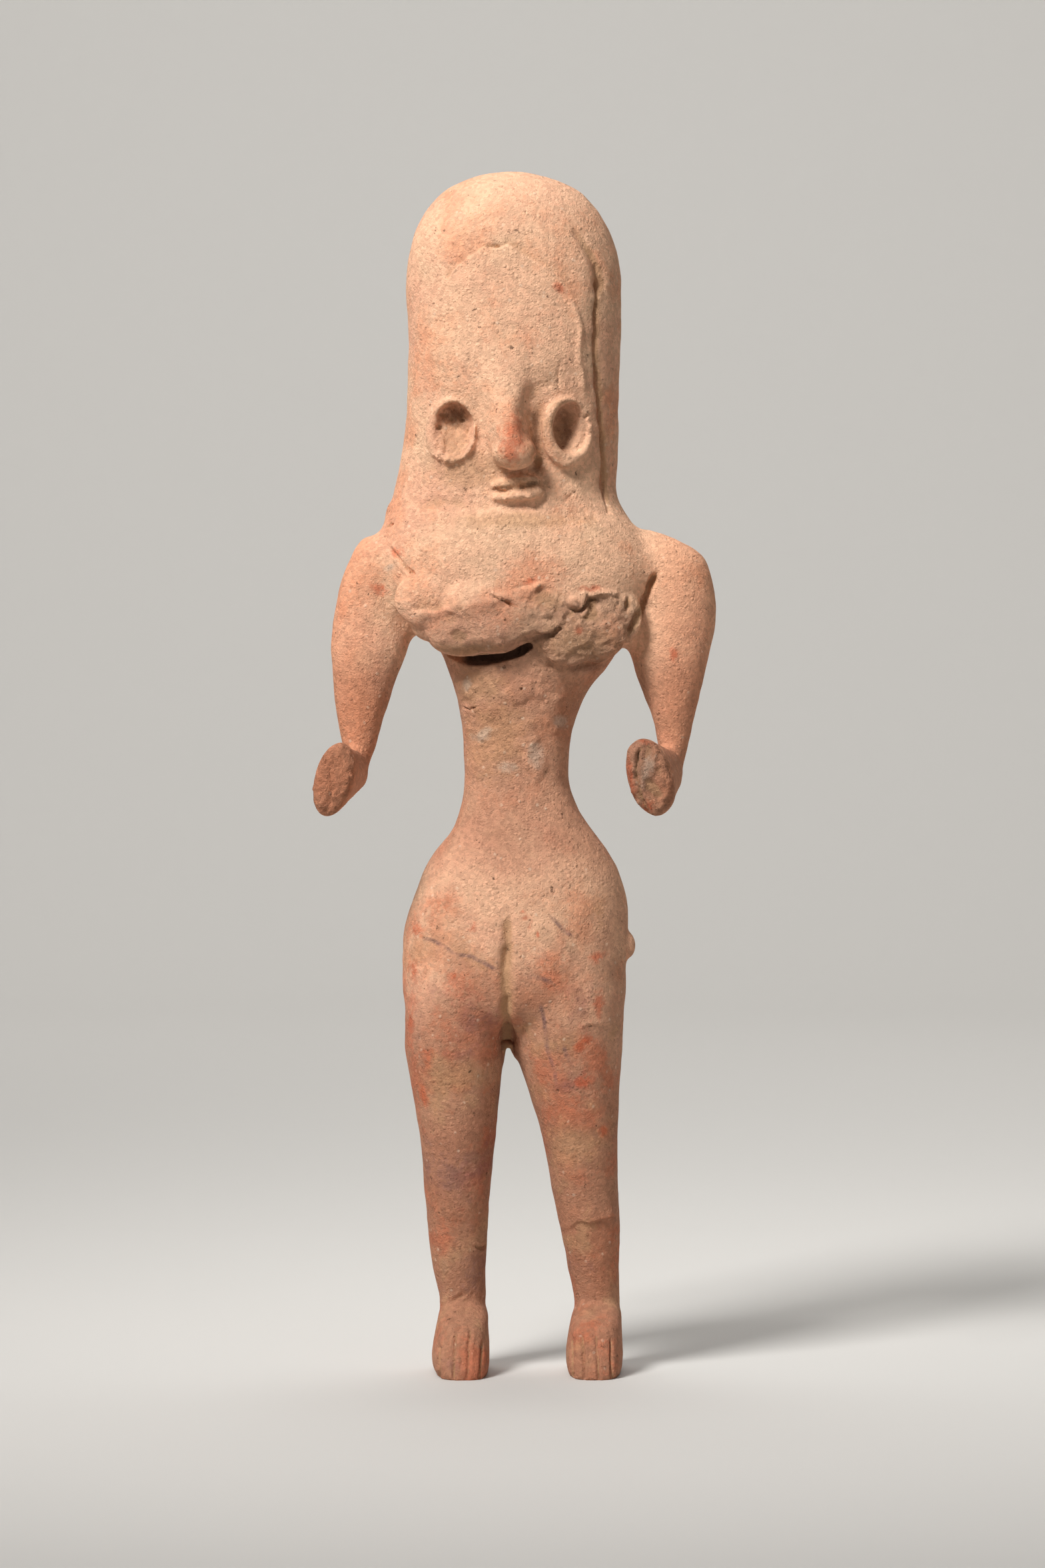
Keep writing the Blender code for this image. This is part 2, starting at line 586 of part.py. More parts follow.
def crumbs():
    """Small lumps strewn over the broken band."""
    draw = random.Random(CRUMB_SEED)
    shapes = []
    for _ in range(CRUMBS):
        across = draw.uniform(CRUMB_LEFT_END, CRUMB_RIGHT_END)
        height = CRUMB_MIDDLE + draw.uniform(-CRUMB_SPREAD, CRUMB_SPREAD)
        size = draw.uniform(CRUMB_SMALLEST, CRUMB_LARGEST)
        tall = size * draw.uniform(CRUMB_FLATTEST, 1.0)
        shapes.append(front_lump(across, height, size, size, tall, -CRUMB_PROUD))
    return shapes


def make_cutters(collection):
    """The hollows, grooves and scored lines, as closed tools."""
    eyes = (("eye_left", EYE_LEFT, EYE_LEFT_PROUD), ("eye_right", EYE_RIGHT, EYE_RIGHT_PROUD))
    for name, eye, proud in eyes:
        across, height, _, _, half_width, half_height = eye
        middle = (across, front_of_trunk(across, height) - proud, height)
        hollow = lump(middle, (half_width, EYE_DEPTH, half_height))
        as_cutter(mesh_object(name + "_hollow", hollow, collection))
    for number, (half_width, off, route) in enumerate(SURFACE_LINES):
        rod_cutter(f"line_{number}", line_points(route, off), half_width, collection)
    for side, foot, lines in (("left", FOOT_LEFT, TOE_LINES_LEFT), ("right", FOOT_RIGHT, TOE_LINES_RIGHT)):
        rows = smooth_rows(foot, LOFT_RINGS)[::-1]
        heights = np.linspace(rows[0, 0], TOE_LINE_TOP, LINE_STEPS)
        for number, across in enumerate(lines):
            points = [(across, front_of_foot(rows, across, height), height) for height in heights]
            rod_cutter(f"toe_line_{side}_{number}", points, TOE_LINE_HALF_WIDTH, collection)


def front_of_foot(rows, across, height):
    """How far back a foot's front surface is, where it is cut by a line along Y."""
    left, right, front, back = (
        float(np.interp(height, rows[:, 0], rows[:, column])) for column in range(1, 5))
    offset = min(abs(across - (left + right) / 2) / ((right - left) / 2), 1.0)
    depth = (1 - offset**FOOT_ROUNDNESS) ** (1 / FOOT_ROUNDNESS)
    return (front + back) / 2 - (back - front) / 2 * depth


def floor_cutter(collection):
    """A block whose top is the plane of the soles."""
    shape = bmesh.new()
    bmesh.ops.create_cube(shape, size=HEIGHT)
    bmesh.ops.translate(shape, verts=shape.verts, vec=(0.0, 0.0, -HEIGHT / 2))
    return as_cutter(mesh_object("floor_block", shape, collection))


def detailed_clay(rough_mesh, collection, cutters):
    """Lays the lumps on the rough clay and cuts the lines and hollows."""
    press_dents(rough_mesh)
    body = bmesh.new()
    body.from_mesh(rough_mesh)
    clay = joined("clay", [body] + surface_lumps(), collection)
    add_modifier(clay, "Lay on", "REMESH", mode="VOXEL", voxel_size=FINE_VOXEL * HEIGHT)
    add_modifier(clay, "Soften", "SMOOTH", factor=0.5, iterations=SOFTEN_STEPS)
    add_modifier(clay, "Cut lines", "BOOLEAN", operation="DIFFERENCE", solver="EXACT",
                 operand_type="COLLECTION", collection=cutters)
    return clay


def thinned_clay(fine_mesh, collection, floor):
    """Thins the faces out where the clay is smooth, and cuts the soles flat."""
    clay = bpy.data.objects.new("thinned_clay", fine_mesh)
    collection.objects.link(clay)
    fine_mesh.calc_loop_triangles()
    add_modifier(clay, "Thin out", "DECIMATE", ratio=TRIANGLES / len(fine_mesh.loop_triangles),
                 use_collapse_triangulate=True)
    add_modifier(clay, "Flatten soles", "BOOLEAN", operation="DIFFERENCE", solver="EXACT", object=floor)
    return clay


def stand_on_origin(mesh):
    """Moves the mesh so that the middle of its box's underside is the origin."""
    points = np.empty(len(mesh.vertices) * 3, dtype=np.float32)
    mesh.vertices.foreach_get("co", points)
    points = points.reshape(-1, 3)
    low, high = points.min(axis=0), points.max(axis=0)
    points -= ((low[0] + high[0]) / 2, (low[1] + high[1]) / 2, low[2])
    mesh.vertices.foreach_set("co", points.ravel())
    mesh.update()


def main():
    clear_scene()
    parts = bpy.data.collections.new("fertility_idol")
    cutters = bpy.data.collections.new("cutters")
    for collection in (parts, cutters):
        bpy.context.scene.collection.children.link(collection)
    make_cutters(cutters)
    detailed = detailed_clay(used_up(rough_clay(parts)), parts, cutters)
    fine_mesh = used_up(detailed)
    mesh = used_up(thinned_clay(fine_mesh, parts, floor_cutter(cutters)))
    stand_on_origin(mesh)
    mesh.materials.clear()
    mesh.materials.append(clay_material())
    mesh.shade_smooth()
    mesh.set_sharp_from_angle(angle=SHARP_ANGLE)
    mesh.name = NODE
    parts.objects.link(bpy.data.objects.new(NODE, mesh))


main()
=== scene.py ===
"""Dresses the packed clay figure: a long-headed standing woman in sandy terracotta, on a pale studio floor.

The figure is one fired piece. Its big forms are lofted from level sections, run together as wet clay would be,
carved, and then worked over point by point for the fine relief: ragged clay on the chest, cracks, seams, pits and
scored lines. Every size of the figure is a share of its own height, measured from its upright axis: x across, y
backwards, z up.
"""

from __future__ import annotations

import logging
import math
from dataclasses import dataclass, field
from enum import Enum

import bmesh
import bpy
import numpy as np
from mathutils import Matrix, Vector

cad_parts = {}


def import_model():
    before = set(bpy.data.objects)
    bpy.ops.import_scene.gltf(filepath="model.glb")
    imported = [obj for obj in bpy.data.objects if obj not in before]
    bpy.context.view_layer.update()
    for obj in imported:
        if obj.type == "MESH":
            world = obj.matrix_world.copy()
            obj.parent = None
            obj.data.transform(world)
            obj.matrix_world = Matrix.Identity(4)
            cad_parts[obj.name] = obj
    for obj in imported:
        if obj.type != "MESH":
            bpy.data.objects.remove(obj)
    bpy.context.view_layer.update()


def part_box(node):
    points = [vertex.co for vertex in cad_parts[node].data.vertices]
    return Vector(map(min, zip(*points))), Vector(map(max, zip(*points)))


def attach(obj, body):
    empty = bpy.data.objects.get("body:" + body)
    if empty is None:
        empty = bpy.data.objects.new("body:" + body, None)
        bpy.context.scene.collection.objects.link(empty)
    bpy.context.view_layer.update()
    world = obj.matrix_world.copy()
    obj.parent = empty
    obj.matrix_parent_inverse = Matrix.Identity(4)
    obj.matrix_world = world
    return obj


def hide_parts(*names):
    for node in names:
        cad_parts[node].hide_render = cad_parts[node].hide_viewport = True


LOG = logging.getLogger("terracotta_idol")

NODE = "idol"
HEIGHT = 0.280

AROUND = 72
SECTION_STEPS = 6

Array = np.ndarray
Route = tuple[tuple[float, float], ...]
Rows = tuple[tuple[float, ...], ...]


# Surfaces


@dataclass
class Shape:
    """A closed surface: its points, and its faces as rows of point numbers."""

    points: Array
    faces: list[tuple[int, ...]]

    def mesh(self, name: str) -> bpy.types.Mesh:
        """The surface as a mesh in metres, facing outwards.

        Args:
            name: What the mesh is called.

        Returns:
            The new mesh.
        """
        mesh = bpy.data.meshes.new(name)
        mesh.from_pydata((self.points * HEIGHT).tolist(), [], self.faces)
        shape = bmesh.new()
        shape.from_mesh(mesh)
        bmesh.ops.recalc_face_normals(shape, faces=shape.faces)
        shape.to_mesh(mesh)
        shape.free()
        return mesh


def smooth_rows(rows: Rows, steps: int) -> Array:
    """Rows between the given ones: a cubic through each pair, whose slopes come from the rows beside them.

    Args:
        rows: The given rows of numbers.
        steps: How many rows go from one given row to the next.

    Returns:
        The rows as an array.
    """
    given = np.array(rows, dtype=float)
    along = np.concatenate([[0.0], np.cumsum(np.linalg.norm(np.diff(given, axis=0), axis=1))])
    slopes = np.gradient(given, along, axis=0)
    first = np.repeat(np.arange(len(given) - 1), steps)
    t = np.tile(np.arange(steps) / steps, len(given) - 1)
    first, t = np.append(first, len(given) - 2), np.append(t, 1.0)
    gap = (along[first + 1] - along[first])[:, None]
    t = t[:, None]
    return (
        (2 * t**3 - 3 * t**2 + 1) * given[first]
        + (t**3 - 2 * t**2 + t) * gap * slopes[first]
        + (3 * t**2 - 2 * t**3) * given[first + 1]
        + (t**3 - t**2) * gap * slopes[first + 1]
    )


def full_turn(count: int) -> Array:
    """Even angles once round, without the last, which is the first again."""
    return np.linspace(0, 2 * np.pi, count, endpoint=False)


def superellipse(turn: Array, across: float | Array, along: float | Array) -> tuple[Array, Array]:
    """Points of an oval of half size 1: cosine and sine, each raised to two over its exponent.

    Args:
        turn: Angles.
        across: Exponent of the first direction; 2 is round and more is squarer.
        along: Exponent of the second direction.

    Returns:
        Both coordinates.
    """
    cos, sin = np.cos(turn), np.sin(turn)
    return np.sign(cos) * np.abs(cos) ** (2 / across), np.sign(sin) * np.abs(sin) ** (2 / along)


def closed_rings(grid: Array, first: Array | None = None, last: Array | None = None) -> Shape:
    """A skin over rings of points, closed at both ends by a fan to a middle point.

    Args:
        grid: Points as rings by points around by three.
        first: The point that closes the first ring, or its mean.
        last: The point that closes the last ring, or its mean.

    Returns:
        The closed surface.
    """
    rings, count, _ = grid.shape
    first = grid[0].mean(axis=0) if first is None else first
    last = grid[-1].mean(axis=0) if last is None else last
    points = np.vstack([grid.reshape(-1, 3), first, last])
    number = np.arange(rings * count).reshape(rings, count)
    beside = np.roll(number, -1, axis=1)
    quads = np.stack([number[:-1], number[1:], beside[1:], beside[:-1]], axis=-1).reshape(-1, 4)
    ends = rings * count
    fans = [
        np.stack([np.full(count, ends), number[0], beside[0]], axis=-1),
        np.stack([np.full(count, ends + 1), beside[-1], number[-1]], axis=-1),
    ]
    return Shape(points, quads.tolist() + np.vstack(fans).tolist())


def level_loft(rows: Rows, roundness: float, above: Array | None = None, top: Array | None = None) -> Shape:
    """A form through level oval sections: height, left, right, front and back edge in each row.

    Args:
        rows: The sections, from the top down.
        roundness: Exponent of the ovals.
        above: Rings that go before the first section.
        top: The point that closes the top.

    Returns:
        The closed form.
    """
    height, left, right, front, back = smooth_rows(rows, SECTION_STEPS).T[:, :, None]
    u, v = superellipse(full_turn(AROUND), roundness, roundness)
    x = (left + right) / 2 + (right - left) / 2 * u
    y = (front + back) / 2 + (back - front) / 2 * v
    grid = np.stack([x, y, np.broadcast_to(height, x.shape)], axis=-1)
    if above is not None:
        grid = np.concatenate([above, grid])
    return closed_rings(grid, first=top)


def lump(middle: Array | tuple[float, ...], half_sizes: tuple[float, float, float]) -> Shape:
    """An ellipsoid: rings of latitude, each a circle, stretched to the half sizes.

    Args:
        middle: Its middle.
        half_sizes: Its half sizes across, backwards and up.

    Returns:
        The closed ellipsoid.
    """
    tilt = np.linspace(0, np.pi, 34)[1:-1, None]
    turn = full_turn(64)[None, :]
    ball = np.stack([np.sin(tilt) * np.cos(turn), np.sin(tilt) * np.sin(turn), np.cos(tilt) + 0 * turn], axis=-1)
    size, place = np.array(half_sizes), np.array(middle)
    poles = np.array([[0, 0, 1.0], [0, 0, -1.0]]) * size + place
    return closed_rings(ball * size + place, first=poles[0], last=poles[1])


def rod(points: Array, radius: float) -> Shape:
    """A round rod: a circle carried along a route, square to it, with one side kept towards the front.

    Args:
        points: The route.
        radius: The rod's radius.

    Returns:
        The closed rod.
    """
    tangent = np.gradient(points, axis=0)
    tangent /= np.linalg.norm(tangent, axis=1)[:, None]
    side = np.cross(tangent, [0.0, 1.0, 0.0])
    side /= np.linalg.norm(side, axis=1)[:, None]
    front = np.cross(side, tangent)
    turn = full_turn(12)[None, :, None]
    grid = points[:, None] + radius * (np.cos(turn) * side[:, None] + np.sin(turn) * front[:, None])
    return closed_rings(grid, first=points[0], last=points[-1])


# Patterns in the clay


def smoothstep(low: float, high: float, value: Array) -> Array:
    """0 below the low value, 1 above the high one, and an S (3 t squared minus 2 t cubed) between them."""
    t = np.clip((value - low) / (high - low), 0.0, 1.0)
    return t * t * (3 - 2 * t)


def lattice_noise(points: Array, size: float, seed: int) -> Array:
    """Smooth noise from -1 to 1: a drawn value at each corner of a cubic lattice, blended inside each cube.

    Args:
        points: Where it is read, as rows of three.
        size: The lattice's spacing.
        seed: The draw's seed.

    Returns:
        One value for each point.
    """
    table = np.random.default_rng(seed).uniform(-1.0, 1.0, (32, 32, 32))
    place = points / size
    cell = np.floor(place).astype(int)
    t = place - cell
    t = t * t * (3 - 2 * t)
    value = np.zeros(len(points))
    for i in (0, 1):
        for j in (0, 1):
            for k in (0, 1):
                weight = np.abs(1 - i - t[:, 0]) * np.abs(1 - j - t[:, 1]) * np.abs(1 - k - t[:, 2])
                corner = (cell + (i, j, k)) & 31
                value += weight * table[corner[:, 0], corner[:, 1], corner[:, 2]]
    return value


def rough_noise(points: Array, size: float, seed: int, octaves: int = 3) -> Array:
    """Noise in octaves, each half the size of the one before and a little over half its height.

    Args:
        points: Where it is read.
        size: Size of the coarsest octave.
        seed: The draw's seed.
        octaves: How many there are.

    Returns:
        One value for each point.
    """
    return sum(0.55**n * lattice_noise(points, size / 2**n, seed + n) for n in range(octaves))


def nearest_on_route(across: Array, height: Array, route: Array) -> tuple[Array, Array, Array]:
    """Distance from points to a route on the front, with its side and how far along it is.

    Args:
        across: The points' x.
        height: The points' z.
        route: The route's points, as rows of x and z.

    Returns:
        Distance, side (positive on the left of the way it runs) and place along the route from 0 to 1.
    """
    best = np.full(len(across), np.inf)
    side = np.zeros(len(across))
    place = np.zeros(len(across))
    lengths = np.linalg.norm(np.diff(route, axis=0), axis=1)
    start = np.concatenate([[0.0], np.cumsum(lengths)])
    for (x0, z0), (x1, z1), length, before in zip(route[:-1], route[1:], lengths, start[:-1]):
        dx, dz = (x1 - x0) / length, (z1 - z0) / length
        along = np.clip((across - x0) * dx + (height - z0) * dz, 0.0, length)
        away_x, away_z = across - x0 - along * dx, height - z0 - along * dz
        distance = np.hypot(away_x, away_z)
        closer = distance < best
        best = np.where(closer, distance, best)
        side = np.where(closer, dx * (height - z0) - dz * (across - x0), side)
        place = np.where(closer, (before + along) / start[-1], place)
    return best, np.sign(side), place


@dataclass
class Clay:
    """The clay's skin while it is worked: points and outward directions, in shares of the height."""

    points: Array
    normals: Array

    @property
    def across(self) -> Array:
        """How far right of the axis each point is, as seen from the front."""
        return self.points[:, 0]

    @property
    def height(self) -> Array:
        """How high each point is."""
        return self.points[:, 2]

    def facing(self, back: bool = False) -> Array:
        """How much each point faces the front, or the back, from 0 to 1."""
        toward = self.normals[:, 1] * (1.0 if back else -1.0)
        return smoothstep(0.05, 0.45, toward)

    def ahead_of(self, y: float) -> Array:
        """1 where a point is nearer the front than y, else 0."""
        return (self.points[:, 1] < y).astype(float)


class Profile(Enum):
    """The form of a worked line, cut square across it."""

    GROOVE = "groove"
    CREASE = "crease"
    RIDGE = "ridge"
    STEP = "step"


@dataclass(frozen=True)
class Line:
    """A line worked into the front of the clay.

    Attributes:
        route: Its points, across and height.
        half_width: Half its width.
        depth: How deep a groove is, or how high a ridge or step.
        profile: Its form.
        burr: How high the clay stands along both sides.
        wander: How far it strays from its route.
    """

    route: Route
    half_width: float
    depth: float
    profile: Profile = Profile.GROOVE
    burr: float = 0.0
    wander: float = 0.0007

    def relief(self, clay: Clay) -> Array:
        """How far the line moves the skin out, or in where it is negative.

        A groove is a bell across the line, a crease a narrower wedge, a ridge a bell that stands out, and a step
        rises on one side and dies away from the line. All fade at both ends.

        Args:
            clay: The skin.

        Returns:
            The move along the outward direction, for each point.
        """
        move = np.zeros(len(clay.points))
        route = smooth_rows(self.route, 5) if len(self.route) > 2 else np.array(self.route)
        reach = 7 * self.half_width
        low, high = route.min(axis=0) - reach, route.max(axis=0) + reach
        near = (
            (clay.across > low[0]) & (clay.across < high[0])
            & (clay.height > low[1]) & (clay.height < high[1]) & (clay.normals[:, 1] < 0.1)
        )
        if not near.any():
            return move
        points = clay.points[near]
        sway = self.wander * rough_noise(points, 0.009, 41, 2)
        distance, side, place = nearest_on_route(points[:, 0] + sway, points[:, 2] - sway, route)
        wide = distance / self.half_width
        ends = smoothstep(0.0, 0.12, place) * smoothstep(1.0, 0.88, place) * 0.75 + 0.25
        if self.profile is Profile.STEP:
            form = 0.5 + 0.5 * np.tanh(side * wide * 1.5)
            form = form * np.exp(-((wide / 5.0) ** 2)) - 0.6 * np.exp(-((wide / 0.8) ** 2))
        elif self.profile is Profile.RIDGE:
            form = np.exp(-(wide**2))
        elif self.profile is Profile.CREASE:
            form = -np.clip(1.0 - wide, 0.0, 1.0) ** 1.3
        else:
            form = -np.exp(-(wide**2) * 1.2)
        form = form * (1.0 + 0.45 * lattice_noise(points, 0.009, 43))
        raised = self.burr * np.exp(-(((wide - 1.7) / 0.7) ** 2))
        facing = smoothstep(0.0, 0.35, -clay.normals[near, 1])
        move[near] = (self.depth * form + raised) * ends * facing
        return move


@dataclass(frozen=True)
class Spot:
    """A rounded place pressed in, or raised, on the front: bell-shaped, or flat-floored where it is steep.

    Attributes:
        across: Its middle, across.
        height: Its middle's height.
        half_width: Half its width.
        half_height: Half its height.
        depth: How far it goes out; negative goes in.
        steep: 2 is a bell, and more has a flatter floor and steeper sides.
        turn: How far it is turned, in degrees.
        ragged: How much its edge strays.
        back: Whether it is on the back.
    """

    across: float
    height: float
    half_width: float
    half_height: float
    depth: float
    steep: float = 2.0
    turn: float = 0.0
    ragged: float = 0.0
    back: bool = False

    def away(self, clay: Clay) -> Array:
        """Distance from the spot's middle along its turned axes, in half sizes.

        Args:
            clay: The skin.

        Returns:
            The distance of each point.
        """
        x, z = clay.across - self.across, clay.height - self.height
        cos, sin = math.cos(math.radians(self.turn)), math.sin(math.radians(self.turn))
        return np.hypot((x * cos + z * sin) / self.half_width, (z * cos - x * sin) / self.half_height)

    def amount(self, clay: Clay) -> Array:
        """From 0 to 1: one over e to the distance from the middle, in half sizes, raised to the steepness.

        Args:
            clay: The skin.

        Returns:
            The amount at each point.
        """
        away = self.away(clay)
        near = away < 2.6
        if self.ragged:
            away[near] += self.ragged * rough_noise(clay.points[near], 0.012, 57)
        amount = np.zeros(len(away))
        amount[near] = np.exp(-np.clip(away[near], 0.0, None) ** self.steep)
        return amount

    def cone(self, clay: Clay) -> Array:
        """One minus half the distance in half sizes, from 0 to 1, on the side it lies on."""
        return np.clip(1.0 - self.away(clay) / 2, 0.0, 1.0) * clay.facing(self.back)

    def relief(self, clay: Clay) -> Array:
        """How far the spot moves the skin out, for each point."""
        return self.depth * self.amount(clay) * clay.facing(self.back)


# The figure's parts


@dataclass
class Trunk:
    """Head and body in one column: level sections from the crown of the head to the crotch.

    Attributes:
        rows: Height, left, right, front and back edge of each section.
        roundness: Exponent of the sections.
        crown_rise: How far the dome stands over the top section.
        crown_roundness: Exponent of the dome seen from the front.
        crown_lean: How far the dome's top leans across.
        buttocks: Middles and half sizes of the seat's two swellings.
    """

    rows: Rows = (
        (0.900, -0.0894, 0.0894, -0.0670, 0.0720), (0.854, -0.0886, 0.0886, -0.0670, 0.0725),
        (0.820, -0.0890, 0.0874, -0.0650, 0.0710), (0.787, -0.0906, 0.0864, -0.0595, 0.0680),
        (0.754, -0.0956, 0.0858, -0.0555, 0.0650), (0.737, -0.0990, 0.0850, -0.0535, 0.0640),
        (0.721, -0.1044, 0.0900, -0.0545, 0.0630), (0.704, -0.1090, 0.1020, -0.0590, 0.0615),
        (0.670, -0.1150, 0.1190, -0.0625, 0.0600), (0.640, -0.1040, 0.1130, -0.0610, 0.0580),
        (0.615, -0.0780, 0.1000, -0.0570, 0.0540), (0.604, -0.0645, 0.0890, -0.0525, 0.0510),
        (0.587, -0.0575, 0.0790, -0.0480, 0.0460), (0.571, -0.0508, 0.0650, -0.0442, 0.0415),
        (0.554, -0.0462, 0.0563, -0.0402, 0.0425), (0.521, -0.0408, 0.0480, -0.0355, 0.0350),
        (0.487, -0.0406, 0.0474, -0.0350, 0.0350), (0.471, -0.0432, 0.0533, -0.0370, 0.0370),
        (0.454, -0.0492, 0.0642, -0.0400, 0.0410), (0.437, -0.0625, 0.0777, -0.0440, 0.0460),
        (0.421, -0.0726, 0.0860, -0.0480, 0.0505), (0.404, -0.0802, 0.0926, -0.0515, 0.0555),
        (0.387, -0.0862, 0.0955, -0.0540, 0.0590), (0.371, -0.0903, 0.0960, -0.0560, 0.0610),
        (0.337, -0.0922, 0.0951, -0.0570, 0.0620), (0.308, -0.0918, 0.0934, -0.0540, 0.0560),
        (0.296, -0.0800, 0.0800, -0.0460, 0.0460), (0.286, -0.0500, 0.0500, -0.0280, 0.0280),
    )
    roundness: float = 2.3
    crown_rise: float = 0.100
    crown_roundness: float = 2.3
    crown_lean: float = -0.003
    buttocks: tuple = (
        ((-0.0430, 0.0230, 0.3280), (0.0460, 0.0440, 0.0640)),
        ((0.0430, 0.0230, 0.3280), (0.0460, 0.0440, 0.0640)),
    )

    def __post_init__(self) -> None:
        """Keeps the smoothed sections, from the bottom up, for reading the front."""
        self._rows = smooth_rows(self.rows, SECTION_STEPS)[::-1]

    def shapes(self) -> list[Shape]:
        """The column with its dome, and the seat.

        Each ring of the dome is the top section shrunk and raised by a superellipse from its foot to its peak.

        Returns:
            The closed forms.
        """
        turn = np.linspace(np.pi / 2, 0, 16)[1:-1]
        size, rise = superellipse(turn, self.crown_roundness, self.crown_roundness)
        size, rise = size[:, None], rise[:, None]
        top, left, right, front, back = self.rows[0]
        u, v = superellipse(full_turn(AROUND), self.roundness, self.roundness)
        x = (left + right) / 2 + self.crown_lean * rise + (right - left) / 2 * size * u
        y = (front + back) / 2 + (back - front) / 2 * size * v
        dome = np.stack([x, y, np.broadcast_to(top + self.crown_rise * rise, x.shape)], axis=-1)
        peak = np.array([self.crown_lean, (front + back) / 2, top + self.crown_rise])
        return [level_loft(self.rows, self.roundness, dome, peak)] + [lump(*row) for row in self.buttocks]

    def front(self, across: Array, height: Array) -> Array:
        """How far back the column's front is where a line along Y meets it.

        The oval of that height is solved for its depth: one minus the share of the half width to the roundness,
        to one over the roundness; in the dome the oval shrinks by the same rule.

        Args:
            across: Where, across.
            height: Where, up.

        Returns:
            The y of the front for each place.
        """
        crown = np.clip((height - self.rows[0][0]) / self.crown_rise, 0.0, 1.0)
        size = np.clip(1 - crown**self.crown_roundness, 1e-9, None) ** (1 / self.crown_roundness)
        left, right, front, back = (np.interp(height, self._rows[:, 0], self._rows[:, i]) for i in range(1, 5))
        offset = np.abs(across - (left + right) / 2) / ((right - left) / 2 * size)
        depth = np.clip(1 - np.clip(offset, 0, 1) ** self.roundness, 0, None) ** (1 / self.roundness)
        return (front + back) / 2 - (back - front) / 2 * size * depth

    def laid_on(self, rows: Rows) -> list[Shape]:
        """Lumps laid on the front.

        Args:
            rows: Across, height, half width, half depth, half height and how far sunk in.

        Returns:
            The closed lumps.
        """
        return [
            lump((x, float(self.front(np.array(x), np.array(z))) + sunk, z), (wide, deep, tall))
            for x, z, wide, deep, tall, sunk in rows
        ]

    def scored(self, half_width: float, off: float, route: Route) -> Shape:
        """A rod over the front, which cuts a line into it.

        Args:
            half_width: The rod's radius.
            off: How far its middle line stands off the front; negative is inside.
            route: Its points, across and height.

        Returns:
            The closed tool.
        """
        x, z = smooth_rows(route, 8).T
        return rod(np.stack([x, self.front(x, z) - off, z], axis=-1), half_width)


@dataclass(frozen=True)
class Beak:
    """The pinched nose, which swells off the face, softly on one side and steeply on the other.

    Attributes:
        rows: From the bottom up: height, middle across, left and right half width, how proud, and how domed.
        sunk: How far its edges go into the face.
    """

    rows: Rows
    sunk: float = 0.009

    def shape(self, trunk: Trunk) -> Shape:
        """The nose as a closed form.

        Across, it stands out by a bell (e to minus the offset to the power 2.4) blended with a half circle, more
        of the circle where it is domed. Each ring runs over the front and returns inside the head.

        Args:
            trunk: The column it lies on.

        Returns:
            The closed form.
        """
        height, middle, left, right, proud, domed = smooth_rows(self.rows, 8).T[:, :, None]
        offset = np.linspace(-1.45, 1.45, 65)[None, :]
        x = middle + np.where(offset < 0, left, right) * offset
        bell = np.exp(-(np.abs(offset) ** 2.4))
        swell = bell + domed * (np.sqrt(np.clip(1 - offset**2, 0, None)) - bell)
        z = height + 0 * x
        face = trunk.front(x, z)
        over = np.stack([x, face + self.sunk - (proud + self.sunk) * swell, z], axis=-1)
        inside = np.stack([x, face + 3 * self.sunk, z], axis=-1)[:, ::-1]
        return closed_rings(np.concatenate([over, inside], axis=1))


@dataclass(frozen=True)
class EyeForm:
    """A ringed eye.

    Attributes:
        hollow: Across, height, half width and half height of the hollow.
        outside: The same for the ring's outside.
        proud: How far the ring's middle stands off the face.
        thick: Half the ring's thickness where it is widest.
        depth: Depth of the hollow.
        slant: How far its deepest place lies across and up, as shares of its half width and height.
        tube_points: Points round the ring's tube.
    """

    hollow: tuple[float, float, float, float]
    outside: tuple[float, float, float, float]
    proud: float
    thick: float
    depth: float
    slant: tuple[float, float]
    tube_points: int = 20

    def ring(self, trunk: Trunk) -> Shape:
        """A ring between two ovals: a tube round their middle line, as wide as they lie apart, rooted in the face.

        Args:
            trunk: The column it lies on.

        Returns:
            The closed ring.
        """
        turn = full_turn(AROUND)[:, None]
        inner, outer = (
            np.concatenate([x + wide * np.cos(turn), z + tall * np.sin(turn)], axis=1)
            for x, z, wide, tall in (self.hollow, self.outside))
        tube = full_turn(self.tube_points)[None, :, None]
        place = (inner + outer)[:, None] / 2 + (outer - inner)[:, None] / 2 * np.cos(tube)
        x, z = place[..., 0], place[..., 1]
        gap = np.linalg.norm(outer - inner, axis=1)[:, None]
        thick = self.thick * np.sqrt(gap / gap.max())
        outward = np.sin(tube[..., 0])
        proud = self.proud * (1 - 0.4 * np.cos(turn))
        y = trunk.front(x, z) - proud - thick * np.where(outward > 0, outward, 4 * outward)
        number = np.arange(AROUND * self.tube_points).reshape(AROUND, self.tube_points)
        after = np.roll(number, -1, 0)
        faces = np.stack([number, after, np.roll(after, -1, 1), np.roll(number, -1, 1)], axis=-1)
        return Shape(np.stack([x, y, z], axis=-1).reshape(-1, 3), faces.reshape(-1, 4).tolist())

    def cutter(self, trunk: Trunk) -> Shape:
        """The tool for the hollow: a bowl whose ovals move over as they shrink, so that one wall is slanted.

        Args:
            trunk: The column it is cut from.

        Returns:
            The closed tool.
        """
        x, z, wide, tall = self.hollow
        turn = full_turn(AROUND)[None, :]
        deep = np.linspace(-1.0, 1.0, 40)[1:-1, None]
        size = np.sqrt(1 - deep**2)
        moved = np.clip(deep, 0, 1) ** 1.5
        across = x + wide * (self.slant[0] * moved + size * np.cos(turn))
        up = z + tall * (self.slant[1] * moved + size * np.sin(turn))
        y = float(trunk.front(np.array(x), np.array(z))) - self.proud + self.depth * deep + 0 * turn
        return closed_rings(np.stack([across, y, up], axis=-1))


